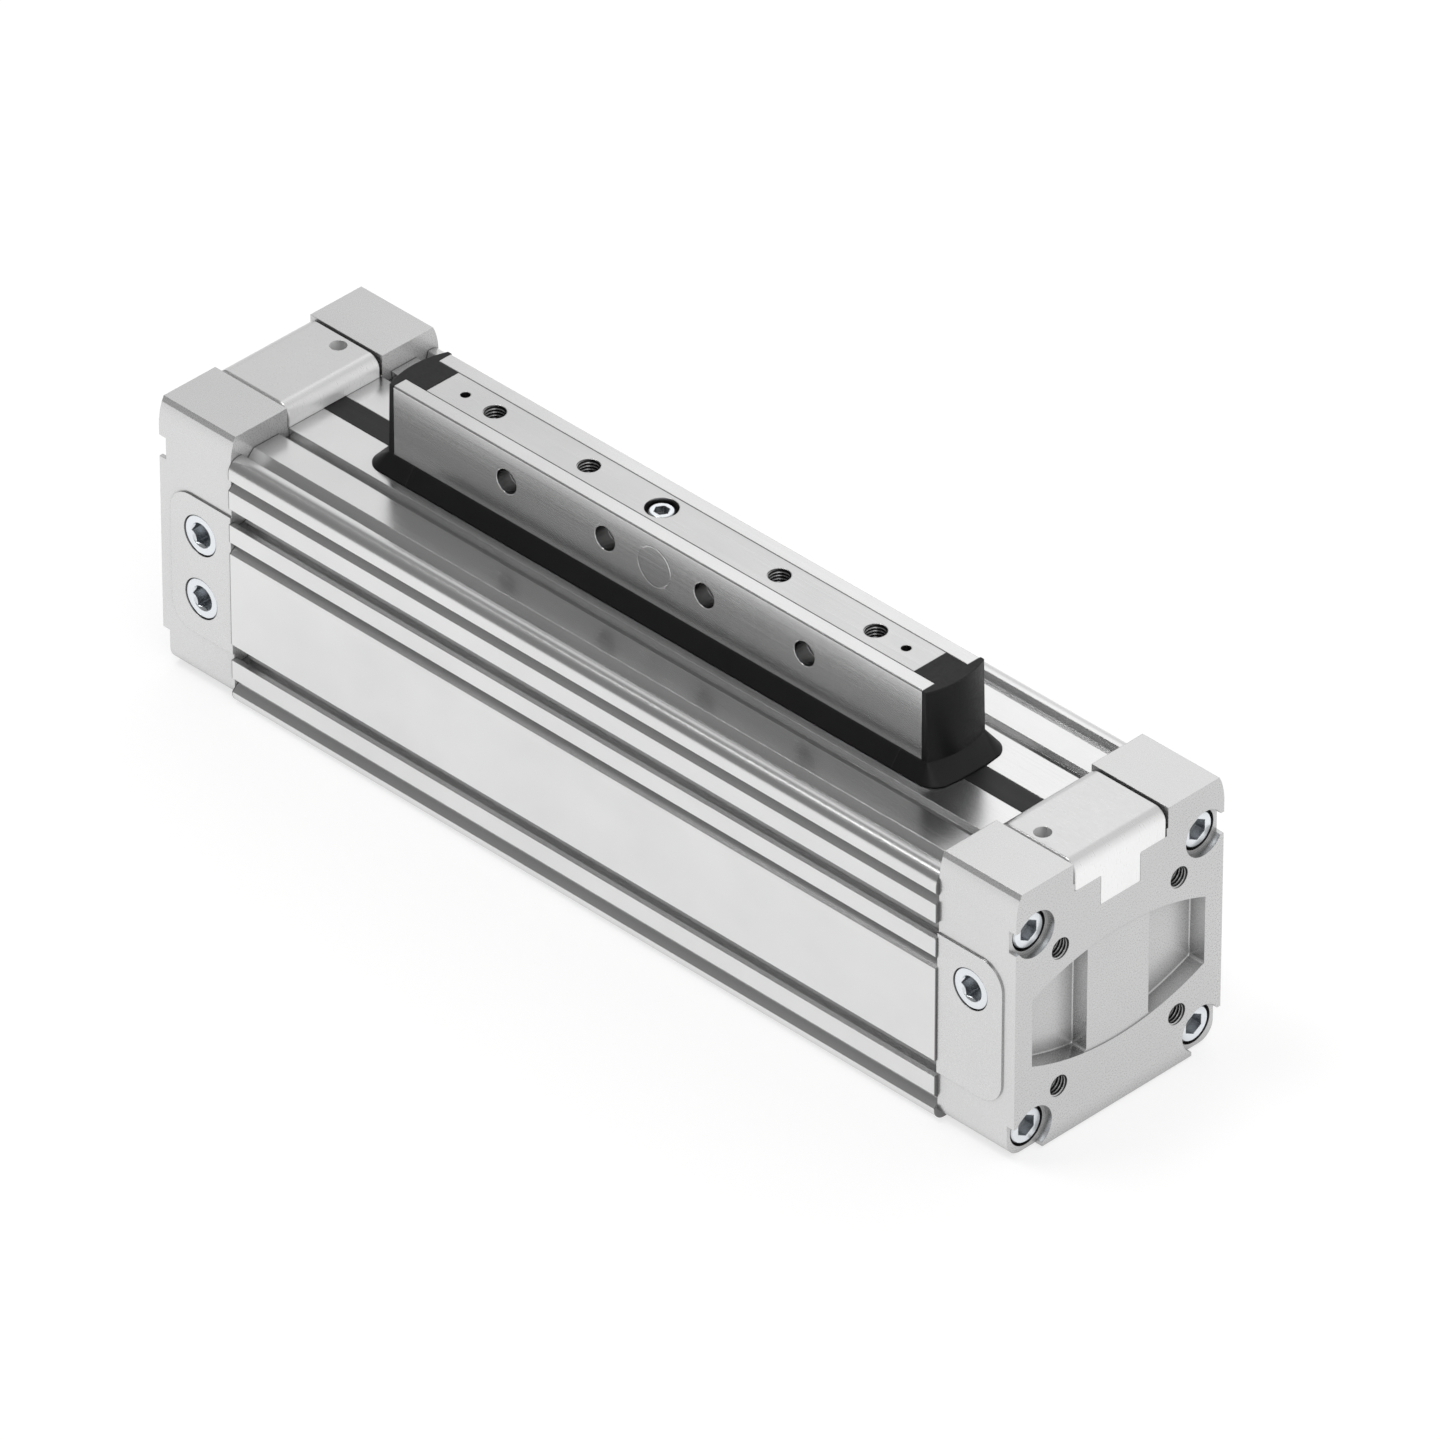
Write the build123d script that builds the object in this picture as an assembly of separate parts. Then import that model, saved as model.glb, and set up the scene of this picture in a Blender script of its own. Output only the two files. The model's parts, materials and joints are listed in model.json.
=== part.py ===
from build123d import *
import math
import os

# Rodless pneumatic cylinder: slotted barrel, two sealing bands, piston pair and outer slide.
# Frame: X along the stroke, Y across, Z up, millimetres. The plugged port side faces -Y.
# Z = 0 is the underside of the barrel. The slide rests in the middle of its travel.

# Driving dimensions of the whole unit
SLIDE_LENGTH = 166.8
TRAVEL = 15.0
CAP_LENGTH = 21.55
BARREL_WIDTH = 61.6
DECK_Z = 61.55
AXIS_Z = 30.5
BORE_RADIUS = 16.0
SLIDE_HEIGHT = 20.85

# Clearances
RUN_FIT = 0.05
SEAT_FIT = 0.05
SLIDE_GAP = 0.2
END_GAP = 4.4
THROUGH_CUT = 1.0

# Barrel outline
RIB_WIDTH = 3.9
RIB_RADIUS = 3.0
FOOT_RADIUS = 2.8
VALLEY_DEPTH = 1.75
VALLEY_FLANK = 0.6
VALLEY_FLOOR = 1.1
DECK_GROOVE_IN = 13.4
DECK_GROOVE_WIDTH = 2.8
DECK_GROOVE_DEPTH = 2.0
DECK_GROOVE_UNDERCUT = 0.2
# Side grooves: lower edge, apex, upper edge above their reference height, then depth
LOW_GROOVE = (3.2, 4.8, 6.7, 1.7)
MID_GROOVE = (-9.4, -8.1, -6.4, 1.8)
HIGH_GROOVE = (-7.35, -5.95, -4.55, 1.5)

# Slots for sensors and slot nuts
T_SLOT_MOUTH = 4.0
T_SLOT_LIP = 1.4
T_SLOT_CAVITY = 6.6
T_SLOT_DEPTH = 5.3
T_SLOT_CHAMFER = 1.0
T_SLOT_FROM_TIE = 7.15

# Bands and their slot
SLOT_HALF = 2.5
BAND_THICKNESS = 0.5
COVER_BAND_HALF = 3.15
COVER_LIFT = 5.55
INNER_BAND_THICKNESS = 0.6
INNER_BAND_HALF = 3.8
INNER_BAND_GAP = 0.1
INNER_DIP = 4.8
BAND_SIDE_FIT = 0.05
INNER_SIDE_FIT = 0.2
BAND_TAIL = 5.0
BAND_MARGIN = 0.5

# Tie screws and air ducts
TIE_FROM_SIDE = 6.45
TIE_LOW_Z = 6.15
TIE_FROM_DECK = 6.7
TIE_RADIUS = 2.5
TIE_REACH = 12.0
TIE_HEAD_RADIUS = 4.25
TIE_HEAD_LENGTH = 5.1
TIE_SOCKET_AF = 4.5
TIE_SOCKET_DEPTH = 2.6
HEAD_BREAK = 0.35
DUCT_FROM_SIDE = 6.8
DUCT_DROP = 8.5
DUCT_RADIUS = 2.25

# End cap body
CAP_SETBACK = 0.8
CAP_BOTTOM_Z = 0.5
CAP_RISE = 5.05
CAP_TOP_SETBACK = 1.5
CAP_CORNER = 4.0
SHOULDER_DROP = 6.6
SHOULDER_RADIUS = 16.0
SHOULDER_ANGLE = 19.8
PANEL_FROM_END = 3.35
PANEL_BELOW_PORT = 9.6
PANEL_ABOVE_PORT = 9.1
PANEL_CORNER = 6.0
PANEL_PROUD = 0.4
SCREW_SINK = 2.0
SEAT_GAP = 0.45
SINK_STEP = 0.7
TIE_CLEARANCE = 0.25
SIDE_SLOT_HALF = 2.65

# End face details
END_THREAD_OFFSET = 17.15
M5_RADIUS = 2.5
END_THREAD_DEPTH = 10.0
LENS_RADIUS = 62.0
LENS_HALF_HEIGHT = 13.55
POCKET_IN = 8.95
POCKET_FROM_SIDE = 5.0
POCKET_DEPTH = 4.3
POCKET_CORNER = 0.8
RECESS_DEPTH = 0.25

# Ports
PORT_FROM_JOINT = 9.3
PORT_RISE = 7.5
PORT_RADIUS = 4.87
PORT_DEPTH = 8.0
PLUG_SINK = 0.2
PLUG_LENGTH = 7.0
PLUG_SOCKET_AF = 5.0
PLUG_SOCKET_DEPTH = 4.0
PLUG_MOUTH_RADIUS = 3.0
PLUG_MOUTH_DEPTH = 0.6
PLUG_BREAK = 0.3
PASSAGE_RISE = 4.0
PASSAGE_RADIUS = 2.25

# Cap boss, its seal, the buffer and the cushion parts
BOSS_LENGTH = 4.5
BOSS_GAP = 0.1
CAP_SEAL_INSET = 1.0
CAP_SEAL_MINOR = 0.95
CAP_SEAL_GROOVE = 2.0
CAP_SEAL_LAND = 0.6
BUFFER_RIM = 1.1
BUFFER_WIDTH = 2.0
BUFFER_SEAT = 1.0
BUFFER_PROUD = 0.4
CHAMBER_RADIUS = 9.5
CHAMBER_DEPTH = 11.7
SPIGOT_RADIUS = 6.0
SPIGOT_REACH = 8.0
SPIGOT_BORE = 3.0
SPIGOT_FLANGE_LENGTH = 4.0
SPIGOT_NOSE = 0.8
NEEDLE_Y = 10.0
NEEDLE_BORE_RADIUS = 2.5
NEEDLE_SEAT_RISE = 14.0
NEEDLE_SEAT_RADIUS = 1.1
NEEDLE_SEAT_GAP = 1.0
NEEDLE_HEAD_GAP = 2.3
NEEDLE_TIP_RADIUS = 0.8
NEEDLE_TIP_LENGTH = 3.5
NEEDLE_KEY_WIDTH = 0.8
NEEDLE_KEY_DEPTH = 1.2
BYPASS_RADIUS = 1.0
BYPASS_Y = 7.0
BYPASS_RISE = 0.4
DUCT_SEAL_MAJOR = 3.4
DUCT_SEAL_MINOR = 0.45
CROSS_DRILL_RADIUS = 2.0
CROSS_DRILL_BACK = 2.1
CROSS_DRILL_INSET = 1.5
CROSS_DRILL_DROP = 3.5

# Band clamp insert
CLAMP_DROP = 0.1
CLAMP_WING_HALF = 13.15
CLAMP_WING_HEIGHT = 6.7
CLAMP_STEM_HALF = 5.65
CLAMP_STEM_GAP = 5.5
CLAMP_EDGE = 0.5
CLAMP_INNER_CORNER = 0.5
CLAMP_END_EDGE = 3.0
CLAMP_HOLE_RADIUS = 1.9
CLAMP_SLOT_MARGIN = 0.55
CLAMP_SLOT_STEP = 1.9
CLAMP_SIDE_FIT = 0.15
CLAMP_STEM_FIT = 0.1
BAND_POCKET_FIT = 0.1
BAND_POCKET_LENGTH = 5.5

# Piston pair and yoke
PISTON_GAP = 0.4
PISTON_LENGTH = 18.5
PISTON_WALL = 5.5
PISTON_STOP_GAP = 0.4
CAVITY_GAP = 0.6
SEAL_GROOVE_FROM = 3.5
SEAL_GROOVE_WIDTH = 4.0
SEAL_GROOVE_DEPTH = 3.2
SEAL_WAIST = 0.65
SEAL_LIP_WIDTH = 0.8
SEAL_FLANK = 0.5
GUIDE_FROM = 2.0
GUIDE_WIDTH = 5.0
GUIDE_DEPTH = 1.05
MAGNET_RIM = 1.05
MAGNET_THICKNESS = 4.0
MAGNET_WIDTH = 5.0
CUSHION_LIP_FROM = 1.0
CUSHION_LIP_WIDTH = 2.0
CUSHION_LIP_DEPTH = 1.9
BOLT_RADIUS = 2.5
BOLT_HEAD_RADIUS = 4.25
BOLT_HEAD_LENGTH = 4.5
BOLT_LENGTH = 17.5
BOLT_SOCKET_AF = 4.0
BOLT_SOCKET_DEPTH = 2.5
YOKE_GAP = 0.6
YOKE_CHANNEL_MARGIN = 0.7
YOKE_BAND_GAP = 0.5
BRIDGE_OVERLAP = 0.5
WEB_HALF_LENGTH = 16.0
WEB_SIDE_GAP = 0.3
WEB_BAND_GAP = 0.4

# Slide
PLATE_FROM_TIP = 7.0
CORE_FROM_PLATE = 5.95
CORE_HALF = 4.7
CORE_LIFT = 0.45
CHANNEL_MARGIN = 0.35
DOWEL_RADIUS = 1.5
DOWEL_X = 10.0
PLATE_FIT = 0.05
PLATE_THICKNESS = 3.65
PLATE_LIFT = 3.85
PLATE_CHAMFER = 0.3
TOP_HOLE_INNER_X = 27.55
TOP_HOLE_FROM_CORE_END = 15.4
TOP_HOLE_DEPTH = 10.0
SIDE_HOLE_INNER_X = 14.35
SIDE_HOLE_FROM_CORE_END = 27.35
SIDE_HOLE_RADIUS = 2.9
SLIDE_HOLE_DROP = 7.5
PIN_RADIUS = 4.7
PIN_WAIST_RADIUS = 4.2
PIN_WAIST_GAP = 0.3
LOCK_GAP = 0.1
LOCK_RECESS_RADIUS = 3.65
LOCK_HEAD_RADIUS = 2.9
LOCK_HEAD_LENGTH = 3.0
LOCK_SINK = 0.6
LOCK_RADIUS = 2.0
LOCK_PAST_PIN = 0.2
LOCK_SOCKET_AF = 3.0
LOCK_SOCKET_DEPTH = 1.6
GRUB_RADIUS = 1.05
GRUB_SINK = 3.0
GRUB_FROM_SHOE = 1.3
SHOE_LENGTH = 8.05
SHOE_GAP = 0.4
SHOE_FIT = 0.05

# Wipers and skirts
WIPER_FIT = 0.05
WIPER_NOSE = 1.2
WIPER_BOW = 1.6
WIPER_CORNER = 0.5
WIPER_DRAFT = 0.6
FLARE_BOW = 0.5
FLARE_WIDTH = 2.7
FLARE_CORNER = 4.5
SKIRT_TOP_GAP = 0.1
SKIRT_THICKNESS = 1.3
SKIRT_LIP = 1.5
SKIRT_KNEE = 1.0

# Derived stations along the stroke
SLIDE_TIP_X = SLIDE_LENGTH / 2
JOINT_X = SLIDE_TIP_X + TRAVEL + END_GAP
END_X = JOINT_X + CAP_LENGTH
BOSS_FACE_X = JOINT_X - BOSS_LENGTH
PORT_X = JOINT_X + PORT_FROM_JOINT
CHAMBER_END_X = JOINT_X + CHAMBER_DEPTH
PANEL_END_X = END_X - PANEL_FROM_END
PISTON_OUT_X = BOSS_FACE_X - BUFFER_PROUD - PISTON_STOP_GAP - TRAVEL
PISTON_IN_X = PISTON_OUT_X - PISTON_LENGTH
BOLT_SEAT_X = PISTON_IN_X + PISTON_WALL
PLATE_HALF_LENGTH = SLIDE_TIP_X - PLATE_FROM_TIP
CORE_HALF_LENGTH = PLATE_HALF_LENGTH - CORE_FROM_PLATE
SHOE_START_X = CORE_HALF_LENGTH - SHOE_LENGTH
GRUB_X = SHOE_START_X + GRUB_FROM_SHOE
BAND_FLAT_HALF = WEB_HALF_LENGTH + TRAVEL + BAND_MARGIN
COVER_RAMP_END = SHOE_START_X - TRAVEL - SHOE_GAP
INNER_RAMP_END = PISTON_IN_X - TRAVEL - BAND_MARGIN
BAND_HALF_LENGTH = JOINT_X + BAND_TAIL
TOP_HOLE_OUTER_X = CORE_HALF_LENGTH - TOP_HOLE_FROM_CORE_END
TOP_HOLES_X = (-TOP_HOLE_OUTER_X, -TOP_HOLE_INNER_X, TOP_HOLE_INNER_X, TOP_HOLE_OUTER_X)
SIDE_HOLE_OUTER_X = CORE_HALF_LENGTH - SIDE_HOLE_FROM_CORE_END
SIDE_HOLES_X = (-SIDE_HOLE_OUTER_X, -SIDE_HOLE_INNER_X, SIDE_HOLE_INNER_X, SIDE_HOLE_OUTER_X)
LOCK_X = -PIN_WAIST_RADIUS - LOCK_RADIUS - LOCK_GAP

# Derived stations across
BARREL_SIDE = BARREL_WIDTH / 2
DECK_HALF = BARREL_SIDE - RIB_WIDTH - VALLEY_FLANK - VALLEY_FLOOR - VALLEY_DEPTH
TIE_Y = BARREL_SIDE - TIE_FROM_SIDE
DUCT_Y = BARREL_SIDE - DUCT_FROM_SIDE
T_SLOT_Y = TIE_Y - T_SLOT_FROM_TIE
CAP_SIDE = BARREL_SIDE - CAP_SETBACK
CAP_TOP_HALF = CAP_SIDE - CAP_TOP_SETBACK
PORT_BOTTOM_Y = CAP_SIDE + PANEL_PROUD - PORT_DEPTH
POCKET_OUT = CAP_SIDE - POCKET_FROM_SIDE
CORE_CHANNEL_HALF = COVER_BAND_HALF + CHANNEL_MARGIN
SHOE_HALF = CORE_CHANNEL_HALF - SHOE_FIT
WEB_HALF = SLOT_HALF - WEB_SIDE_GAP
PLATE_IN = CORE_HALF + PLATE_FIT
PLATE_OUT = PLATE_IN + PLATE_THICKNESS
WIPER_SIDE_HALF = PLATE_OUT + WIPER_FIT
FLARE_HALF = PLATE_OUT + FLARE_WIDTH

# Derived radii
BOSS_RADIUS = BORE_RADIUS - BOSS_GAP
CAP_SEAL_MAJOR = BORE_RADIUS - CAP_SEAL_INSET
BUFFER_OUT = BORE_RADIUS - BUFFER_RIM
BUFFER_IN = BUFFER_OUT - BUFFER_WIDTH
PISTON_RADIUS = BORE_RADIUS - PISTON_GAP
SEAL_GROOVE_RADIUS = PISTON_RADIUS - SEAL_GROOVE_DEPTH
SEAL_LIP_RADIUS = BORE_RADIUS - RUN_FIT
SEAL_WAIST_RADIUS = SEAL_LIP_RADIUS - SEAL_WAIST
GUIDE_FLOOR_RADIUS = PISTON_RADIUS - GUIDE_DEPTH
MAGNET_OUT = GUIDE_FLOOR_RADIUS - MAGNET_RIM
MAGNET_IN = MAGNET_OUT - MAGNET_THICKNESS
PISTON_CAVITY_RADIUS = SPIGOT_RADIUS + CAVITY_GAP
CUSHION_LIP_OUT = PISTON_CAVITY_RADIUS + CUSHION_LIP_DEPTH
YOKE_RADIUS = BORE_RADIUS - YOKE_GAP
YOKE_CHANNEL_HALF = INNER_BAND_HALF + YOKE_CHANNEL_MARGIN
SEAT_RADIUS = TIE_HEAD_RADIUS + SEAT_GAP
SINK_RADIUS = SEAT_RADIUS + SINK_STEP

# Derived heights
TIE_HIGH_Z = DECK_Z - TIE_FROM_DECK
T_SLOT_LOW_Z = TIE_LOW_Z + T_SLOT_FROM_TIE
T_SLOT_HIGH_Z = TIE_HIGH_Z - T_SLOT_FROM_TIE
COVER_BAND_Z = DECK_Z - BAND_THICKNESS
INNER_BAND_Z = AXIS_Z + BORE_RADIUS + INNER_BAND_GAP
INNER_REBATE_TOP = INNER_BAND_Z + INNER_BAND_THICKNESS + INNER_BAND_GAP
YOKE_CHANNEL_Z = INNER_BAND_Z - INNER_DIP - YOKE_BAND_GAP
BRIDGE_LOW_Z = INNER_BAND_Z - INNER_DIP + INNER_BAND_THICKNESS + WEB_BAND_GAP
WEB_TOP_Z = COVER_BAND_Z + COVER_LIFT - WEB_BAND_GAP
CORE_BOTTOM_Z = DECK_Z + CORE_LIFT
CORE_CHANNEL_TOP_Z = COVER_BAND_Z + COVER_LIFT + 2 * BAND_THICKNESS
DOWEL_Z = (CORE_BOTTOM_Z + WEB_TOP_Z) / 2
PLATE_BOTTOM_Z = DECK_Z + PLATE_LIFT
SLIDE_TOP_Z = DECK_Z + SLIDE_HEIGHT
SLIDE_HOLE_Z = SLIDE_TOP_Z - SLIDE_HOLE_DROP
LOCK_SEAT_Z = SLIDE_TOP_Z - LOCK_SINK - LOCK_HEAD_LENGTH
LOCK_LENGTH = LOCK_SEAT_Z - SLIDE_HOLE_Z + PIN_RADIUS + LOCK_PAST_PIN
FLARE_BOTTOM_Z = DECK_Z + SLIDE_GAP
CAP_TOP_Z = DECK_Z + CAP_RISE
SHOULDER_Z = CAP_TOP_Z - SHOULDER_DROP
CLAMP_TOP_Z = CAP_TOP_Z - CLAMP_DROP
CLAMP_WING_Z = CLAMP_TOP_Z - CLAMP_WING_HEIGHT
CLAMP_STEM_Z = INNER_BAND_Z + INNER_BAND_THICKNESS + CLAMP_STEM_GAP
CLAMP_SLOT_STEP_Z = CLAMP_WING_Z + CLAMP_SLOT_STEP
CLAMP_SLOT_HALF = CLAMP_WING_HALF + CLAMP_SLOT_MARGIN
PORT_HIGH_Z = AXIS_Z + PORT_RISE
PORT_LOW_Z = AXIS_Z - DUCT_DROP
DUCT_Z = PORT_LOW_Z
PANEL_LOW_Z = PORT_LOW_Z - PANEL_BELOW_PORT
PANEL_HIGH_Z = PORT_HIGH_Z + PANEL_ABOVE_PORT
PASSAGE_Z = AXIS_Z + PASSAGE_RISE
NEEDLE_SEAT_Z = AXIS_Z + NEEDLE_SEAT_RISE
NEEDLE_LOW_Z = NEEDLE_SEAT_Z + NEEDLE_SEAT_GAP
NEEDLE_TOP_Z = CLAMP_WING_Z - NEEDLE_HEAD_GAP
NEEDLE_TIP_Z = NEEDLE_LOW_Z - NEEDLE_TIP_LENGTH
BYPASS_REACH = (CHAMBER_RADIUS + BUFFER_IN) / 2
BYPASS_LOW_Z = AXIS_Z + math.sqrt(BYPASS_REACH ** 2 - BYPASS_Y ** 2)
BYPASS_HIGH_Z = NEEDLE_SEAT_Z + BYPASS_RISE
CROSS_DRILL_END = (
    PORT_X - CROSS_DRILL_BACK, CROSS_DRILL_INSET - CHAMBER_RADIUS, AXIS_Z - CROSS_DRILL_DROP
)


def area(points):
    """Flat face with the given corner points."""
    return make_face(Polyline(*points, close=True))


def both_sides(shape, plane):
    """A shape together with its mirror image."""
    return shape + mirror(shape, about=plane)


def along_x(section, x_from, x_to):
    """Extrude a (Y, Z) section along X."""
    plane = Plane(origin=(x_from, 0, 0), x_dir=(0, 1, 0), z_dir=(1, 0, 0))
    return extrude(plane * section, amount=x_to - x_from)


def along_y(section, y_from, y_to):
    """Extrude an (X, Z) section along Y."""
    plane = Plane(origin=(0, y_to, 0), x_dir=(1, 0, 0), z_dir=(0, -1, 0))
    return extrude(plane * section, amount=y_to - y_from)


def along_z(section, z_from, z_to):
    """Extrude an (X, Y) section along Z."""
    return extrude(Pos(0, 0, z_from) * section, amount=z_to - z_from)


def block(x_from, x_to, y_from, y_to, z_from, z_to):
    """Box between the given limits."""
    centre = Pos((x_from + x_to) / 2, (y_from + y_to) / 2, (z_from + z_to) / 2)
    return centre * Box(x_to - x_from, y_to - y_from, z_to - z_from)


def rod_x(radius, y, z, x_from, x_to):
    """Cylinder along X."""
    return along_x(Pos(y, z) * Circle(radius), x_from, x_to)


def rod_y(radius, x, z, y_from, y_to):
    """Cylinder along Y."""
    return along_y(Pos(x, z) * Circle(radius), y_from, y_to)


def rod_z(radius, x, y, z_from, z_to):
    """Cylinder along Z."""
    return along_z(Pos(x, y) * Circle(radius), z_from, z_to)


def ring_x(inner, outer, x_from, x_to):
    """Ring around the bore axis."""
    section = Circle(outer) - Circle(inner)
    return along_x(Pos(0, AXIS_Z) * section, x_from, x_to)


def drilling(start, end, radius):
    """Straight hole between two points."""
    reach = Vector(*end) - Vector(*start)
    plane = Plane(origin=start, z_dir=reach)
    return extrude(plane * Circle(radius), amount=reach.length)


def turned(shape):
    """The shape of the other end, turned half round about Z."""
    return Rot(0, 0, 180) * shape


def hexagon(across_flats):
    """Hexagon face for a key socket."""
    return RegularPolygon(across_flats / 2, 6, major_radius=False)


def socket_screw(head_radius, head_length, shank_radius, shank_length, socket_af, socket_depth):
    """Cap screw along Z: head top at the origin, shank pointing down."""
    head = rod_z(head_radius, 0, 0, -head_length, 0)
    head = chamfer(head.edges().sort_by(Axis.Z)[-1], HEAD_BREAK)
    shank = rod_z(shank_radius, 0, 0, -head_length - shank_length, -head_length)
    socket = along_z(hexagon(socket_af), -socket_depth, 0)
    return head + shank - socket


# Barrel


def barrel_outline():
    """Outer outline of the extruded barrel."""
    rib_inner = BARREL_SIDE - RIB_WIDTH
    valley_z = DECK_Z - VALLEY_DEPTH
    half = [
        (BARREL_SIDE, 0.0),
        (BARREL_SIDE, DECK_Z),
        (rib_inner, DECK_Z),
        (rib_inner - VALLEY_FLANK, valley_z),
        (DECK_HALF + VALLEY_DEPTH, valley_z),
        (DECK_HALF, DECK_Z),
    ]
    other = [(-y, z) for y, z in reversed(half)]
    section = area(half + other)
    feet = section.vertices().sort_by(Axis.Y)[:2]
    section = fillet(feet, FOOT_RADIUS)
    top = section.vertices().group_by(Axis.Y)[-1].sort_by(Axis.X)
    return fillet([top[0], top[-1]], RIB_RADIUS)


def side_groove(base_z, low, apex, high, depth):
    """V groove in the barrel's side, measured from a reference height."""
    outside = BARREL_SIDE + THROUGH_CUT
    return area([
        (BARREL_SIDE - depth, base_z + apex),
        (BARREL_SIDE, base_z + low),
        (outside, base_z + low),
        (outside, base_z + high),
        (BARREL_SIDE, base_z + high),
    ])


def t_slot():
    """T slot opening towards +X of its sketch, surface at X = 0."""
    mouth = T_SLOT_MOUTH / 2
    cavity = T_SLOT_CAVITY / 2
    upper = [
        (THROUGH_CUT, mouth),
        (-T_SLOT_LIP, mouth),
        (-T_SLOT_LIP, cavity),
        (-T_SLOT_DEPTH + T_SLOT_CHAMFER, cavity),
        (-T_SLOT_DEPTH, cavity - T_SLOT_CHAMFER),
    ]
    lower = [(x, -y) for x, y in reversed(upper)]
    return area(upper + lower)


def deck_groove():
    """Shallow groove along the deck."""
    floor_z = DECK_Z - DECK_GROOVE_DEPTH
    outer = DECK_GROOVE_IN + DECK_GROOVE_WIDTH
    return area([
        (DECK_GROOVE_IN, DECK_Z + THROUGH_CUT),
        (DECK_GROOVE_IN, DECK_Z),
        (DECK_GROOVE_IN - DECK_GROOVE_UNDERCUT, floor_z),
        (outer + DECK_GROOVE_UNDERCUT, floor_z),
        (outer, DECK_Z),
        (outer, DECK_Z + THROUGH_CUT),
    ])


def barrel_openings():
    """Bore, slot, band seats, screw channels and air ducts."""
    cover_half = COVER_BAND_HALF + BAND_SIDE_FIT
    openings = Pos(0, AXIS_Z) * Circle(BORE_RADIUS)
    openings += area([
        (-SLOT_HALF, AXIS_Z),
        (SLOT_HALF, AXIS_Z),
        (SLOT_HALF, DECK_Z + THROUGH_CUT),
        (-SLOT_HALF, DECK_Z + THROUGH_CUT),
    ])
    openings += area([
        (-cover_half, COVER_BAND_Z),
        (cover_half, COVER_BAND_Z),
        (cover_half, DECK_Z + THROUGH_CUT),
        (-cover_half, DECK_Z + THROUGH_CUT),
    ])
    inner_half = INNER_BAND_HALF + INNER_SIDE_FIT
    openings += area([
        (-inner_half, AXIS_Z),
        (inner_half, AXIS_Z),
        (inner_half, INNER_REBATE_TOP),
        (-inner_half, INNER_REBATE_TOP),
    ])
    for y, z in tie_points():
        openings += Pos(y, z) * Circle(TIE_RADIUS + SEAT_FIT)
    for y in (-DUCT_Y, DUCT_Y):
        openings += Pos(y, DUCT_Z) * Circle(DUCT_RADIUS)
    return openings


def barrel_profile():
    """Extruded barrel with all its grooves and slots."""
    section = barrel_outline()
    section -= both_sides(side_groove(0.0, *LOW_GROOVE), Plane.YZ)
    section -= both_sides(side_groove(T_SLOT_HIGH_Z, *MID_GROOVE), Plane.YZ)
    section -= both_sides(side_groove(DECK_Z, *HIGH_GROOVE), Plane.YZ)
    section -= both_sides(deck_groove(), Plane.YZ)
    for z in (T_SLOT_LOW_Z, T_SLOT_HIGH_Z):
        section -= both_sides(Pos(BARREL_SIDE, z) * t_slot(), Plane.YZ)
    for y in (-T_SLOT_Y, T_SLOT_Y):
        section -= Pos(y, 0) * Rot(0, 0, -90) * t_slot()
    section -= barrel_openings()
    return along_x(section, -JOINT_X, JOINT_X)


# Bands


def ramp(x_from, z_from, x_to, z_to, rise):
    """Two tangent arcs of an S-shaped ramp, drawn at a distance above its centre line."""
    run = x_to - x_from
    height = z_to - z_from
    way = math.copysign(1.0, height)
    radius = (run ** 2 + height ** 2) / (4 * abs(height))
    sweep = math.degrees(2 * math.atan(abs(height) / run))
    first = CenterArc((x_from, z_from + way * radius), radius - way * rise, -way * 90, way * sweep)
    second = CenterArc((x_to, z_to - way * radius), radius + way * rise, way * (90 + sweep), -way * sweep)
    return [first, second]


def band_edge(rest_z, middle_z, ramp_end, rise):
    """Upper or lower edge of a band seen from the side."""
    points = [
        (-BAND_HALF_LENGTH, rest_z),
        (-ramp_end, rest_z),
        (-BAND_FLAT_HALF, middle_z),
        (BAND_FLAT_HALF, middle_z),
        (ramp_end, rest_z),
        (BAND_HALF_LENGTH, rest_z),
    ]
    lines = [Line((a[0], a[1] + rise), (b[0], b[1] + rise)) for a, b in zip(points[::2], points[1::2])]
    return lines + ramp(*points[1], *points[2], rise) + ramp(*points[3], *points[4], rise)


def band(rest_z, middle_z, ramp_end, half_width, thickness):
    """Thin strip that leaves its seat in an S-shaped hump over the middle."""
    rise = thickness / 2
    centre_rest = rest_z + rise
    centre_middle = middle_z + rise
    edges = band_edge(centre_rest, centre_middle, ramp_end, rise)
    edges += band_edge(centre_rest, centre_middle, ramp_end, -rise)
    for x in (-BAND_HALF_LENGTH, BAND_HALF_LENGTH):
        edges.append(Line((x, rest_z), (x, rest_z + thickness)))
    return along_y(make_face(Curve() + edges), -half_width, half_width)


def cover_band():
    """Outer band, flush with the deck and lifted inside the slide."""
    return band(COVER_BAND_Z, COVER_BAND_Z + COVER_LIFT, COVER_RAMP_END, COVER_BAND_HALF, BAND_THICKNESS)


def inner_seal_band():
    """Inner band, closing the slot from the bore and lowered under the yoke's bridge."""
    low_z = INNER_BAND_Z - INNER_DIP
    return band(INNER_BAND_Z, low_z, INNER_RAMP_END, INNER_BAND_HALF, INNER_BAND_THICKNESS)


# End caps


def tie_points():
    """The four tie screw positions as (Y, Z)."""
    return [(y, z) for y in (-TIE_Y, TIE_Y) for z in (TIE_LOW_Z, TIE_HIGH_Z)]


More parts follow.
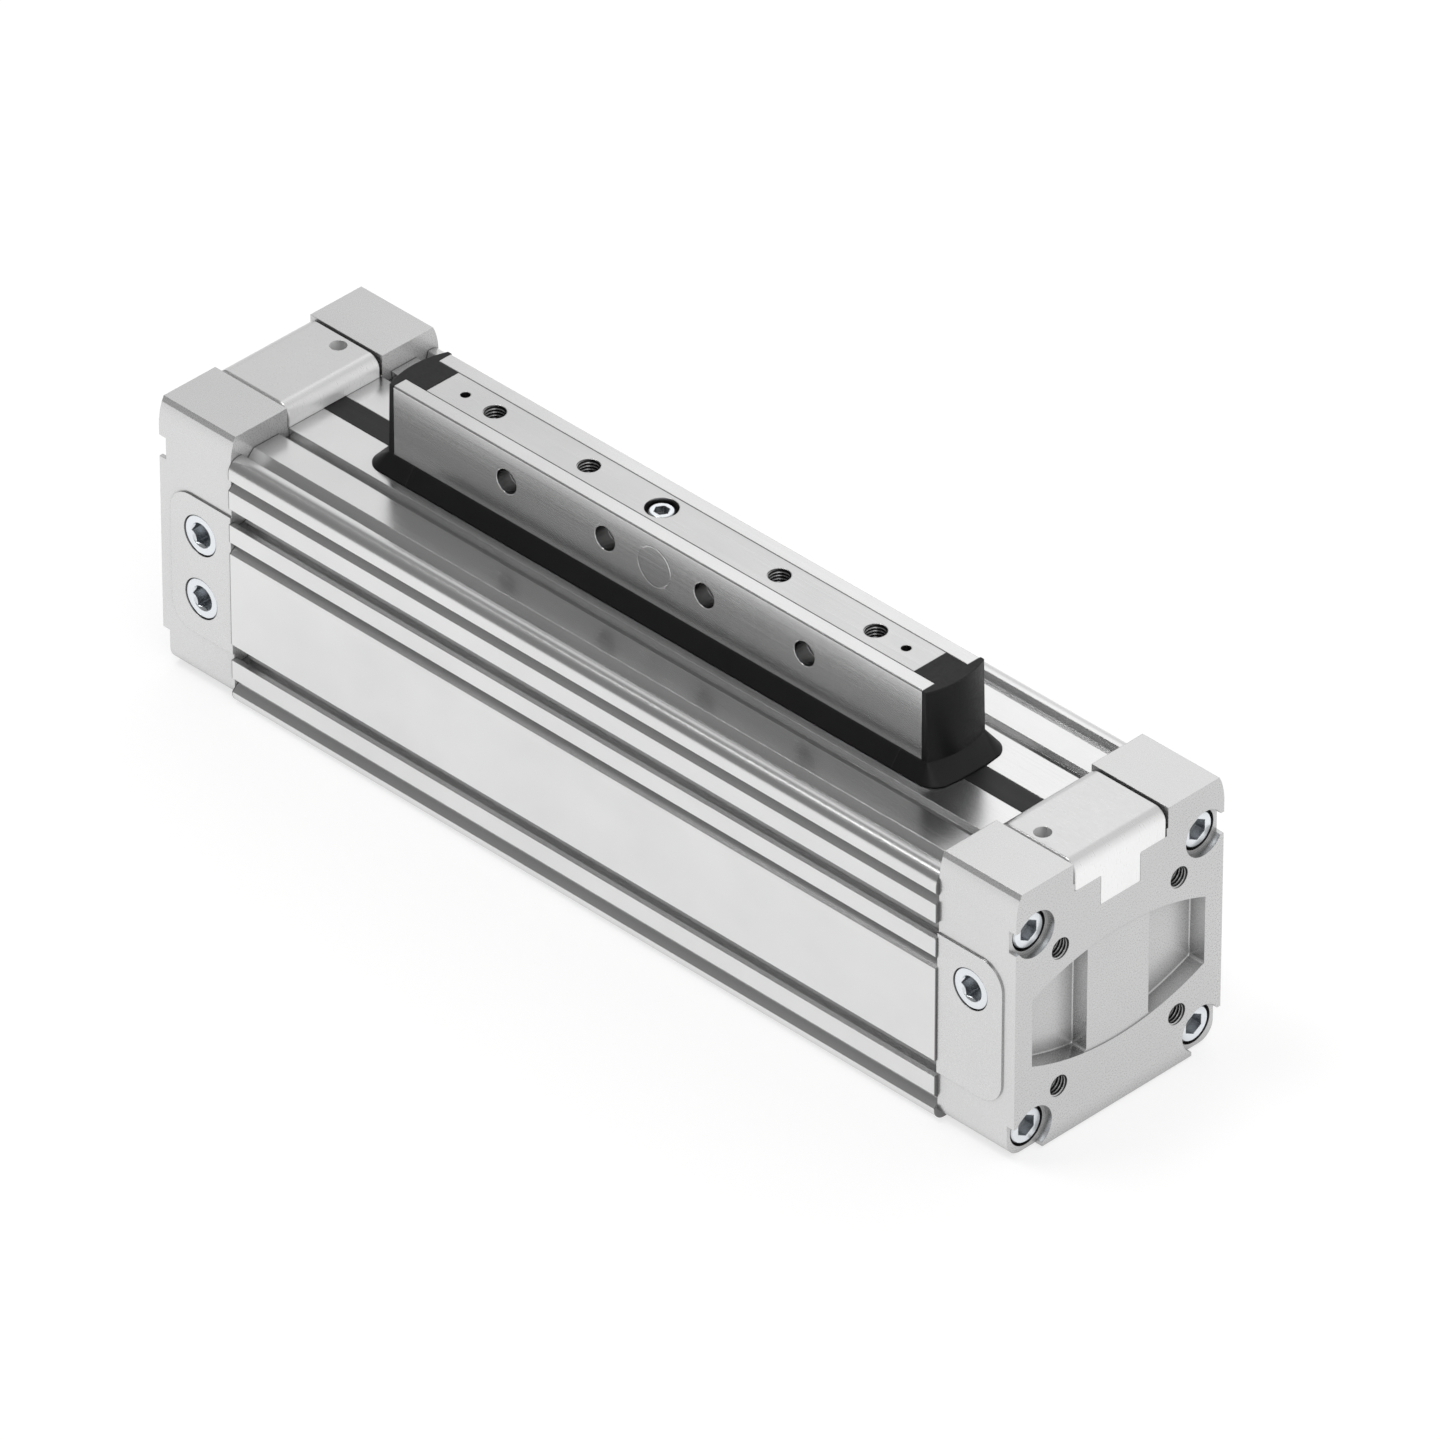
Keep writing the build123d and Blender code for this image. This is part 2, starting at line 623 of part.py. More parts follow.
def cap_section():
    """Outline of the end cap seen along X."""
    arc = CenterArc((CAP_SIDE - SHOULDER_RADIUS, SHOULDER_Z), SHOULDER_RADIUS, 0, SHOULDER_ANGLE)
    half = Curve() + [
        Line((0, CAP_BOTTOM_Z), (CAP_SIDE, CAP_BOTTOM_Z)),
        Line((CAP_SIDE, CAP_BOTTOM_Z), (CAP_SIDE, SHOULDER_Z)),
        arc,
        Line(arc @ 1, (CAP_TOP_HALF, CAP_TOP_Z)),
        Line((CAP_TOP_HALF, CAP_TOP_Z), (0, CAP_TOP_Z)),
    ]
    section = make_face(both_sides(half, Plane.YZ))
    feet = [v for v in section.vertices() if v.Y < CAP_CORNER and abs(v.X) > CAP_CORNER]
    return fillet(feet, CAP_CORNER)


def side_panel():
    """Raised pad around the ports on the -Y side."""
    pad = area([
        (JOINT_X, PANEL_LOW_Z),
        (PANEL_END_X, PANEL_LOW_Z),
        (PANEL_END_X, PANEL_HIGH_Z),
        (JOINT_X, PANEL_HIGH_Z),
    ])
    corners = pad.vertices().group_by(Axis.X)[-1]
    return along_y(fillet(corners, PANEL_CORNER), -CAP_SIDE - PANEL_PROUD, -CAP_SIDE + THROUGH_CUT)


def t_section(points):
    """T face from the points of its right half, with the two inner corners rounded."""
    left = [(-y, z) for y, z in reversed(points)]
    section = area(points + left)
    corners = section.vertices().group_by(Axis.Y)[1].sort_by(Axis.X)[1:3]
    return fillet(corners, CLAMP_INNER_CORNER)


def clamp_slot():
    """Slot in the cap for the band clamp insert."""
    wing = CLAMP_WING_HALF + CLAMP_SIDE_FIT
    stem = CLAMP_STEM_HALF + CLAMP_STEM_FIT
    right = [
        (stem, CLAMP_STEM_Z),
        (stem, CLAMP_WING_Z),
        (wing, CLAMP_WING_Z),
        (wing, CLAMP_SLOT_STEP_Z),
        (CLAMP_SLOT_HALF, CLAMP_SLOT_STEP_Z),
        (CLAMP_SLOT_HALF, CAP_TOP_Z + THROUGH_CUT),
    ]
    return along_x(t_section(right), JOINT_X, END_X)


def screw_seats():
    """Sunk seats, clearance holes and edge cuts for the tie screws."""
    sink_x = END_X - SCREW_SINK
    outside = CAP_SIDE + THROUGH_CUT
    seats = []
    for y, z in tie_points():
        seats.append(rod_x(SINK_RADIUS, y, z, sink_x, END_X))
        seats.append(rod_x(SEAT_RADIUS, y, z, sink_x - TIE_HEAD_LENGTH, sink_x))
        seats.append(rod_x(TIE_RADIUS + TIE_CLEARANCE, y, z, JOINT_X, sink_x))
    half = SIDE_SLOT_HALF
    side_slot = block(sink_x, END_X, -outside, -TIE_Y, TIE_HIGH_Z - half, TIE_HIGH_Z + half)
    corner = block(sink_x, END_X, -outside, half - TIE_Y, CAP_BOTTOM_Z - THROUGH_CUT, TIE_LOW_Z + half)
    for cut in (side_slot, corner):
        seats.append(cut)
        seats.append(mirror(cut, about=Plane.XZ))
    return seats


def lens(y_from, y_to):
    """Part of the lens-shaped field on the end face between two Y limits."""
    offset = LENS_RADIUS - LENS_HALF_HEIGHT
    field = Pos(0, AXIS_Z - offset) * Circle(LENS_RADIUS)
    field &= Pos(0, AXIS_Z + offset) * Circle(LENS_RADIUS)
    return field & Pos((y_from + y_to) / 2, AXIS_Z) * Rectangle(y_to - y_from, LENS_RADIUS)


def face_pockets():
    """Two deep pockets and the shallow field between them."""
    opening = lens(POCKET_IN, POCKET_OUT)
    pocket = along_x(fillet(opening.vertices(), POCKET_CORNER), END_X - POCKET_DEPTH, END_X)
    pocket = fillet(pocket.faces().sort_by(Axis.X)[0].edges(), POCKET_CORNER / 2)
    field = along_x(lens(-POCKET_OUT, POCKET_OUT), END_X - RECESS_DEPTH, END_X)
    return [pocket, mirror(pocket, about=Plane.XZ), field]


def end_threads():
    """Four mounting threads in the end face."""
    threads = []
    for y in (-END_THREAD_OFFSET, END_THREAD_OFFSET):
        for z in (AXIS_Z - END_THREAD_OFFSET, AXIS_Z + END_THREAD_OFFSET):
            threads.append(rod_x(M5_RADIUS, y, z, END_X - END_THREAD_DEPTH, END_X))
    return threads


def boss_cuts():
    """Chamber, seal groove and buffer seat in the cap's boss."""
    chamber = rod_x(CHAMBER_RADIUS, 0, AXIS_Z, BOSS_FACE_X, CHAMBER_END_X)
    groove_to = JOINT_X - CAP_SEAL_LAND
    groove_floor = CAP_SEAL_MAJOR - CAP_SEAL_MINOR - SEAT_FIT
    groove = ring_x(groove_floor, BORE_RADIUS, groove_to - CAP_SEAL_GROOVE, groove_to)
    buffer_seat = ring_x(BUFFER_IN - SEAT_FIT, BUFFER_OUT + SEAT_FIT, BOSS_FACE_X, BOSS_FACE_X + BUFFER_SEAT)
    return [chamber, groove, buffer_seat]


def cushion_ways():
    """Needle bore with the by-pass that lets the cushioning air out."""
    bore = rod_z(NEEDLE_BORE_RADIUS, PORT_X, -NEEDLE_Y, NEEDLE_SEAT_Z, CLAMP_WING_Z)
    seat = rod_z(NEEDLE_SEAT_RADIUS, PORT_X, -NEEDLE_Y, PASSAGE_Z, NEEDLE_SEAT_Z)
    start = (BOSS_FACE_X, -BYPASS_Y, BYPASS_LOW_Z)
    bypass = drilling(start, (PORT_X, -NEEDLE_Y, BYPASS_HIGH_Z), BYPASS_RADIUS)
    return [bore, seat, bypass]


def inner_band_pocket():
    """Pocket in the cap's joint face that holds the inner band's tail."""
    half = INNER_BAND_HALF + BAND_POCKET_FIT
    low_z = INNER_BAND_Z - BAND_POCKET_FIT
    high_z = INNER_BAND_Z + INNER_BAND_THICKNESS + BAND_POCKET_FIT
    return block(JOINT_X, JOINT_X + BAND_POCKET_LENGTH, -half, half, low_z, high_z)


def cap_blank():
    """Right end cap before its ports are drilled."""
    body = along_x(cap_section(), JOINT_X, END_X)
    body += rod_x(BOSS_RADIUS, 0, AXIS_Z, BOSS_FACE_X, JOINT_X)
    body += both_sides(side_panel(), Plane.XZ)
    body -= clamp_slot()
    body -= screw_seats()
    body -= face_pockets()
    body -= end_threads()
    body -= boss_cuts()
    body -= cushion_ways()
    return body - inner_band_pocket()


def port(x, way, z):
    """Port bore from one side of the cap."""
    return rod_y(PORT_RADIUS, x, z, *sorted((way * PORT_BOTTOM_Y, way * (CAP_SIDE + THROUGH_CUT))))


def main_ports(x):
    """Upper ports of both sides with the passage through the chamber."""
    passage = rod_y(PASSAGE_RADIUS, x, PASSAGE_Z, -PORT_BOTTOM_Y - SEAT_FIT, PORT_BOTTOM_Y + SEAT_FIT)
    return [port(x, -1, PORT_HIGH_Z), port(x, 1, PORT_HIGH_Z), passage]


def duct_seal_groove(way):
    """Face groove around the air duct in the cap's joint face."""
    depth = 2 * DUCT_SEAL_MINOR
    ring = Circle(DUCT_SEAL_MAJOR + DUCT_SEAL_MINOR) - Circle(DUCT_SEAL_MAJOR - DUCT_SEAL_MINOR)
    return along_x(Pos(-DUCT_Y, DUCT_Z) * ring, *sorted((way * JOINT_X, way * (JOINT_X + depth))))


def right_end_cap():
    """Right cap: its air comes through the barrel's duct or its own ports."""
    body = cap_blank() - main_ports(PORT_X)
    body -= duct_seal_groove(1)
    return body - drilling((JOINT_X, -DUCT_Y, DUCT_Z), CROSS_DRILL_END, CROSS_DRILL_RADIUS)


def left_end_cap():
    """Left cap: the lower port feeds the barrel's duct."""
    body = turned(cap_blank()) - main_ports(-PORT_X)
    body -= port(-PORT_X, -1, PORT_LOW_Z)
    body -= duct_seal_groove(-1)
    return body - rod_x(DUCT_RADIUS, -DUCT_Y, DUCT_Z, -PORT_X, -JOINT_X)


def band_clamp():
    """T-shaped insert that clamps the bands and covers the needle screw."""
    right = [
        (CLAMP_STEM_HALF, CLAMP_STEM_Z),
        (CLAMP_STEM_HALF, CLAMP_WING_Z),
        (CLAMP_WING_HALF, CLAMP_WING_Z),
        (CLAMP_WING_HALF, CLAMP_TOP_Z),
    ]
    insert = along_x(t_section(right), JOINT_X, END_X)
    top = insert.faces().sort_by(Axis.Z)[-1]
    insert = fillet(top.edges().filter_by(Axis.Y), CLAMP_END_EDGE)
    long_edges = insert.edges().filter_by(Axis.X).group_by(Axis.Z)[-1]
    insert = fillet(long_edges, CLAMP_EDGE)
    insert -= rod_z(CLAMP_HOLE_RADIUS, PORT_X, -NEEDLE_Y, CLAMP_WING_Z, CLAMP_TOP_Z)
    half = COVER_BAND_HALF + BAND_POCKET_FIT
    low_z = COVER_BAND_Z - BAND_POCKET_FIT
    return insert - block(JOINT_X, JOINT_X + BAND_POCKET_LENGTH, -half, half, low_z, DECK_Z + BAND_POCKET_FIT)


def cap_screws():
    """Four tie screws of the right cap."""
    length = END_X - SCREW_SINK - TIE_HEAD_LENGTH - JOINT_X + TIE_REACH
    screw = socket_screw(TIE_HEAD_RADIUS, TIE_HEAD_LENGTH, TIE_RADIUS, length, TIE_SOCKET_AF, TIE_SOCKET_DEPTH)
    head_x = END_X - SCREW_SINK
    return Compound(children=[Pos(head_x, y, z) * Rot(0, 90, 0) * screw for y, z in tie_points()])


def port_plug(x, z):
    """Socket plug in a port of the -Y side."""
    radius = PORT_RADIUS - SEAT_FIT
    body = chamfer(rod_z(radius, 0, 0, -PLUG_LENGTH, 0).edges().sort_by(Axis.Z)[-1], PLUG_BREAK)
    body -= along_z(hexagon(PLUG_SOCKET_AF), -PLUG_SOCKET_DEPTH, 0)
    body -= Pos(0, 0, -PLUG_MOUTH_DEPTH / 2) * Cone(PLUG_SOCKET_AF / 2, PLUG_MOUTH_RADIUS, PLUG_MOUTH_DEPTH)
    return Pos(x, -CAP_SIDE - PANEL_PROUD + PLUG_SINK, z) * Rot(90, 0, 0) * body


def o_ring(major, minor, x, y, z):
    """Seal ring lying square to X."""
    return Pos(x, y, z) * Rot(0, 90, 0) * Torus(major, minor)


def cap_seal():
    """Seal between the cap's boss and the bore."""
    x = JOINT_X - CAP_SEAL_LAND - CAP_SEAL_GROOVE / 2
    return o_ring(CAP_SEAL_MAJOR, CAP_SEAL_MINOR, x, 0, AXIS_Z)


def duct_seal(way):
    """Seal between the cap and the barrel's air duct."""
    return o_ring(DUCT_SEAL_MAJOR, DUCT_SEAL_MINOR, way * (JOINT_X + DUCT_SEAL_MINOR), -DUCT_Y, DUCT_Z)


def buffer_ring():
    """Elastic stop for the piston."""
    return ring_x(BUFFER_IN, BUFFER_OUT, BOSS_FACE_X - BUFFER_PROUD, BOSS_FACE_X + BUFFER_SEAT)


def cushion_spigot():
    """Hollow spigot that closes the piston's cushion seal at the end of the stroke."""
    flange = rod_x(CHAMBER_RADIUS - SEAT_FIT, 0, AXIS_Z, BOSS_FACE_X, BOSS_FACE_X + SPIGOT_FLANGE_LENGTH)
    tube = rod_x(SPIGOT_RADIUS, 0, AXIS_Z, BOSS_FACE_X - SPIGOT_REACH, BOSS_FACE_X)
    tube = chamfer(tube.edges().sort_by(Axis.X)[0], SPIGOT_NOSE)
    bore_end = BOSS_FACE_X + SPIGOT_FLANGE_LENGTH
    return flange + tube - rod_x(SPIGOT_BORE, 0, AXIS_Z, BOSS_FACE_X - SPIGOT_REACH, bore_end)


def cushion_screw():
    """Slotted needle screw that sets the end cushioning."""
    body = rod_z(NEEDLE_BORE_RADIUS - RUN_FIT, PORT_X, -NEEDLE_Y, NEEDLE_LOW_Z, NEEDLE_TOP_Z)
    body += rod_z(NEEDLE_TIP_RADIUS, PORT_X, -NEEDLE_Y, NEEDLE_TIP_Z, NEEDLE_LOW_Z)
    half = NEEDLE_KEY_WIDTH / 2
    reach = NEEDLE_BORE_RADIUS
    floor_z = NEEDLE_TOP_Z - NEEDLE_KEY_DEPTH
    key = block(PORT_X - reach, PORT_X + reach, -NEEDLE_Y - half, -NEEDLE_Y + half, floor_z, NEEDLE_TOP_Z)
    return body - key


# Pistons and yoke


def piston():
    """Right piston with its seal, guide, magnet and cushion seal seats."""
    body = rod_x(PISTON_RADIUS, 0, AXIS_Z, PISTON_IN_X, PISTON_OUT_X)
    body -= rod_x(PISTON_CAVITY_RADIUS, 0, AXIS_Z, BOLT_SEAT_X, PISTON_OUT_X)
    body -= rod_x(BOLT_RADIUS + SEAT_FIT, 0, AXIS_Z, PISTON_IN_X, BOLT_SEAT_X)
    seal_to = PISTON_OUT_X - SEAL_GROOVE_FROM
    body -= ring_x(SEAL_GROOVE_RADIUS, BORE_RADIUS, seal_to - SEAL_GROOVE_WIDTH, seal_to)
    guide_from = PISTON_IN_X + GUIDE_FROM
    body -= ring_x(GUIDE_FLOOR_RADIUS, BORE_RADIUS, guide_from, guide_from + GUIDE_WIDTH)
    body -= ring_x(MAGNET_IN - SEAT_FIT, MAGNET_OUT + SEAT_FIT, PISTON_IN_X, PISTON_IN_X + MAGNET_WIDTH)
    lip_to = PISTON_OUT_X - CUSHION_LIP_FROM
    return body - rod_x(CUSHION_LIP_OUT, 0, AXIS_Z, lip_to - CUSHION_LIP_WIDTH, lip_to)


def piston_seal():
    """Double-lipped piston seal."""
    x_out = PISTON_OUT_X - SEAL_GROOVE_FROM - SEAT_FIT
    x_in = x_out - SEAL_GROOVE_WIDTH + 2 * SEAT_FIT
    floor = SEAL_GROOVE_RADIUS + SEAT_FIT
    section = area([
        (x_in, floor),
        (x_out, floor),
        (x_out, SEAL_LIP_RADIUS),
        (x_out - SEAL_LIP_WIDTH, SEAL_LIP_RADIUS),
        (x_out - SEAL_LIP_WIDTH - SEAL_FLANK, SEAL_WAIST_RADIUS),
        (x_in + SEAL_LIP_WIDTH + SEAL_FLANK, SEAL_WAIST_RADIUS),
        (x_in + SEAL_LIP_WIDTH, SEAL_LIP_RADIUS),
        (x_in, SEAL_LIP_RADIUS),
    ])
    return Pos(0, 0, AXIS_Z) * revolve(section, axis=Axis.X)


def guide_ring():
    """Split guide ring that carries the piston in the bore."""
    x_from = PISTON_IN_X + GUIDE_FROM + SEAT_FIT
    return ring_x(GUIDE_FLOOR_RADIUS + SEAT_FIT, SEAL_LIP_RADIUS, x_from, x_from + GUIDE_WIDTH - 2 * SEAT_FIT)


def magnet():
    """Ring magnet for the position sensors."""
    return ring_x(MAGNET_IN, MAGNET_OUT, PISTON_IN_X, PISTON_IN_X + MAGNET_WIDTH - SEAT_FIT)


def cushion_seal():
    """Lip seal that slides over the spigot."""
    lip_to = PISTON_OUT_X - CUSHION_LIP_FROM
    outer = CUSHION_LIP_OUT - SEAT_FIT
    return ring_x(SPIGOT_RADIUS + RUN_FIT, outer, lip_to - CUSHION_LIP_WIDTH, lip_to)


def piston_bolt():
    """Bolt that holds the piston to the yoke."""
    bolt = socket_screw(
        BOLT_HEAD_RADIUS, BOLT_HEAD_LENGTH, BOLT_RADIUS, BOLT_LENGTH, BOLT_SOCKET_AF, BOLT_SOCKET_DEPTH
    )
    return Pos(BOLT_SEAT_X + BOLT_HEAD_LENGTH, 0, AXIS_Z) * Rot(0, 90, 0) * bolt


def piston_yoke():
    """Yoke between the pistons, with the web that passes out through the slot."""
    body = rod_x(YOKE_RADIUS, 0, AXIS_Z, -PISTON_IN_X, PISTON_IN_X)
    top_z = AXIS_Z + BORE_RADIUS
    body -= block(-PISTON_IN_X, PISTON_IN_X, -YOKE_CHANNEL_HALF, YOKE_CHANNEL_HALF, YOKE_CHANNEL_Z, top_z)
    bridge_half = YOKE_CHANNEL_HALF + BRIDGE_OVERLAP
    bridge = block(-WEB_HALF_LENGTH, WEB_HALF_LENGTH, -bridge_half, bridge_half, BRIDGE_LOW_Z, top_z)
    body += bridge & rod_x(YOKE_RADIUS, 0, AXIS_Z, -WEB_HALF_LENGTH, WEB_HALF_LENGTH)
    body += block(-WEB_HALF_LENGTH, WEB_HALF_LENGTH, -WEB_HALF, WEB_HALF, BRIDGE_LOW_Z, WEB_TOP_Z)
    head_half = CORE_CHANNEL_HALF - SEAT_FIT
    body += block(-WEB_HALF_LENGTH, WEB_HALF_LENGTH, -head_half, head_half, CORE_BOTTOM_Z, WEB_TOP_Z)
    for way in (-1, 1):
        reach = BOLT_SEAT_X - BOLT_LENGTH - THROUGH_CUT
        body -= rod_x(BOLT_RADIUS + SEAT_FIT, 0, AXIS_Z, *sorted((way * reach, way * PISTON_IN_X)))
        body -= rod_y(DOWEL_RADIUS + SEAT_FIT, way * DOWEL_X, DOWEL_Z, -CORE_HALF, CORE_HALF)
    return body


# Slide


def slide_core():
    """Bar of the slide that straddles the lifted cover band."""
    bar = block(-CORE_HALF_LENGTH, CORE_HALF_LENGTH, -CORE_HALF, CORE_HALF, CORE_BOTTOM_Z, SLIDE_TOP_Z)
    channel = CORE_CHANNEL_HALF
    bar -= block(-CORE_HALF_LENGTH, CORE_HALF_LENGTH, -channel, channel, CORE_BOTTOM_Z, CORE_CHANNEL_TOP_Z)
    for x in TOP_HOLES_X:
        bar -= rod_z(M5_RADIUS, x, 0, SLIDE_TOP_Z - TOP_HOLE_DEPTH, SLIDE_TOP_Z)
    for x in SIDE_HOLES_X:
        bar -= rod_y(SIDE_HOLE_RADIUS, x, SLIDE_HOLE_Z, -CORE_HALF, CORE_HALF)
    for x in (-DOWEL_X, DOWEL_X):
        bar -= rod_y(DOWEL_RADIUS + SEAT_FIT, x, DOWEL_Z, -CORE_HALF, CORE_HALF)
    for x in (-GRUB_X, GRUB_X):
        bar -= rod_z(GRUB_RADIUS + SEAT_FIT, x, 0, CORE_CHANNEL_TOP_Z, SLIDE_TOP_Z)
    bar -= rod_y(PIN_RADIUS + SEAT_FIT, 0, SLIDE_HOLE_Z, -CORE_HALF, CORE_HALF)
    bar -= rod_z(LOCK_RECESS_RADIUS, LOCK_X, 0, LOCK_SEAT_Z, SLIDE_TOP_Z)
    return bar - rod_z(LOCK_RADIUS + SEAT_FIT, LOCK_X, 0, LOCK_SEAT_Z - LOCK_LENGTH - SEAT_FIT, LOCK_SEAT_Z)


def slide_plate():
    """Cheek plate of the -Y side."""
    plate = block(-PLATE_HALF_LENGTH, PLATE_HALF_LENGTH, -PLATE_OUT, -PLATE_IN, PLATE_BOTTOM_Z, SLIDE_TOP_Z)
    outer = plate.faces().sort_by(Axis.Y)[0]
    plate = chamfer(outer.edges().sort_by(Axis.Z)[-1], PLATE_CHAMFER)
    for x in SIDE_HOLES_X:
        plate -= rod_y(SIDE_HOLE_RADIUS, x, SLIDE_HOLE_Z, -PLATE_OUT, -PLATE_IN)
    return plate - rod_y(PIN_RADIUS + SEAT_FIT, 0, SLIDE_HOLE_Z, -PLATE_OUT, -PLATE_IN)


def cross_pin():
    """Pin through core and plates, with a waist for the lock screw."""
    pin = rod_y(PIN_RADIUS, 0, SLIDE_HOLE_Z, -PLATE_OUT, PLATE_OUT)
    half = LOCK_RADIUS + PIN_WAIST_GAP
    waist = rod_y(PIN_RADIUS + THROUGH_CUT, 0, SLIDE_HOLE_Z, -half, half)
    return pin - (waist - rod_y(PIN_WAIST_RADIUS, 0, SLIDE_HOLE_Z, -half, half))


def pin_lock_screw():
    """Screw that locks the cross pin by its waist."""
    screw = socket_screw(
        LOCK_HEAD_RADIUS, LOCK_HEAD_LENGTH, LOCK_RADIUS, LOCK_LENGTH, LOCK_SOCKET_AF, LOCK_SOCKET_DEPTH
    )
    return Pos(LOCK_X, 0, SLIDE_TOP_Z - LOCK_SINK) * screw


def guide_screw():
    """Grub screw that presses the band guide down."""
    return rod_z(GRUB_RADIUS, GRUB_X, 0, CORE_CHANNEL_TOP_Z, SLIDE_TOP_Z - GRUB_SINK)


def band_guide():
    """Shoe in the core's channel that leads the cover band back to its seat."""
    return block(SHOE_START_X, CORE_HALF_LENGTH, -SHOE_HALF, SHOE_HALF, FLARE_BOTTOM_Z, CORE_CHANNEL_TOP_Z)


def driver_dowels():
    """Two dowels that join the yoke's web to the core."""
    reach = CORE_HALF - SEAT_FIT
    return Compound(children=[rod_y(DOWEL_RADIUS, x, DOWEL_Z, -reach, reach) for x in (-DOWEL_X, DOWEL_X)])


def bowed_outline(back_x, corner_x, crown_x, half, corner):
    """Plan view of a wiper: straight flanks, round corners and a bowed front."""
    return make_face(Curve() + [
        Line((back_x, half), (back_x, -half)),
        Line((back_x, -half), (corner_x - corner, -half)),
        CenterArc((corner_x - corner, -half + corner), corner, -90, 90),
        ThreePointArc((corner_x, -half + corner), (crown_x, 0), (corner_x, half - corner)),
        CenterArc((corner_x - corner, half - corner), corner, 0, 90),
        Line((corner_x - corner, half), (back_x, half)),
    ])


def wiper():
    """Right wiper: inset block, bowed nose and flared scraping lip."""
    back_x = CORE_HALF_LENGTH + WIPER_FIT
    nose_x = PLATE_HALF_LENGTH + WIPER_FIT
    skirt_top_z = PLATE_BOTTOM_Z - SKIRT_TOP_GAP
    inset = block(back_x, nose_x, -CORE_HALF, CORE_HALF, FLARE_BOTTOM_Z, SLIDE_TOP_Z)
    corner_x = PLATE_HALF_LENGTH + WIPER_NOSE
    low_corner_x = corner_x + WIPER_DRAFT
    low_crown_x = low_corner_x + WIPER_BOW
    top = bowed_outline(nose_x, corner_x, corner_x + WIPER_BOW, WIPER_SIDE_HALF, WIPER_CORNER / 2)
    low = bowed_outline(nose_x, low_corner_x, low_crown_x, WIPER_SIDE_HALF, WIPER_CORNER)
    nose = loft([Pos(0, 0, skirt_top_z) * low, Pos(0, 0, SLIDE_TOP_Z) * top], ruled=True)
    waist = bowed_outline(back_x, low_corner_x, low_crown_x, WIPER_SIDE_HALF, WIPER_CORNER)
    lip = bowed_outline(back_x, SLIDE_TIP_X - FLARE_BOW, SLIDE_TIP_X, FLARE_HALF, FLARE_CORNER)
    flare = loft([Pos(0, 0, FLARE_BOTTOM_Z) * lip, Pos(0, 0, skirt_top_z) * waist], ruled=True)
    return inset + nose + flare


def skirt():
    """Side skirt below the plate of the -Y side."""
    top_z = PLATE_BOTTOM_Z - SKIRT_TOP_GAP
    inner = CORE_HALF + WIPER_FIT
    under_z = top_z - SKIRT_THICKNESS
    section = area([
        (-inner, top_z),
        (-PLATE_OUT, top_z),
        (-FLARE_HALF, FLARE_BOTTOM_Z),
        (SKIRT_LIP - FLARE_HALF, FLARE_BOTTOM_Z),
        (SKIRT_KNEE - PLATE_OUT, under_z),
        (-inner, under_z),
    ])
    return along_x(section, -CORE_HALF_LENGTH, CORE_HALF_LENGTH)


# Assembly


def end_parts():
    """Pieces that are the same at both ends, apart from a half turn about Z."""
    return {
        "band_clamp": band_clamp(),
        "cap_screws": cap_screws(),
        "cap_seal": cap_seal(),
        "buffer": buffer_ring(),
        "cushion_spigot": cushion_spigot(),
        "cushion_screw": cushion_screw(),
        "piston": piston(),
        "piston_seal": piston_seal(),
        "guide_ring": guide_ring(),
        "magnet": magnet(),
        "cushion_seal": cushion_seal(),
        "piston_bolt": piston_bolt(),
        "guide_screw": guide_screw(),
        "band_guide": band_guide(),
        "wiper": wiper(),
    }


def single_parts():
    """Pieces that are there once or differ from end to end."""
    plate = slide_plate()
    side_skirt = skirt()
    return {
        "barrel_profile": barrel_profile(),
        "cover_band": cover_band(),
        "inner_seal_band": inner_seal_band(),
        "left_end_cap": left_end_cap(),
        "right_end_cap": right_end_cap(),
        "left_port_plug_upper": port_plug(-PORT_X, PORT_HIGH_Z),
        "left_port_plug_lower": port_plug(-PORT_X, PORT_LOW_Z),
        "right_port_plug": port_plug(PORT_X, PORT_HIGH_Z),
        "left_duct_seal": duct_seal(-1),
        "right_duct_seal": duct_seal(1),
        "piston_yoke": piston_yoke(),
        "slide_core": slide_core(),
        "slide_front_plate": plate,
        "slide_rear_plate": mirror(plate, about=Plane.XZ),
        "front_skirt": side_skirt,
        "rear_skirt": mirror(side_skirt, about=Plane.XZ),
        "cross_pin": cross_pin(),
        "pin_lock_screw": pin_lock_screw(),
        "driver_dowels": driver_dowels(),
    }


os.makedirs("parts", exist_ok=True)
for name, shape in single_parts().items():
    export_step(shape, f"parts/{name}.step")
for name, shape in end_parts().items():
    export_step(shape, f"parts/right_{name}.step")
    export_step(turned(shape), f"parts/left_{name}.step")
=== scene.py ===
# %% [markdown]
# # A rodless air cylinder, dressed for a studio picture
# The solids of the cylinder are loaded as a fixed frame: barrel, end caps, slide, bands and
# the pistons inside. This lesson gives them their finishes, adds the cut threads that the
# solids leave out, and sets up a pale studio. Everything is in metres, X runs along the
# stroke, Z is up, and the side with the plugged air ports faces -Y.

import bpy
import json
import math
import numpy as np
from mathutils import Matrix, Vector


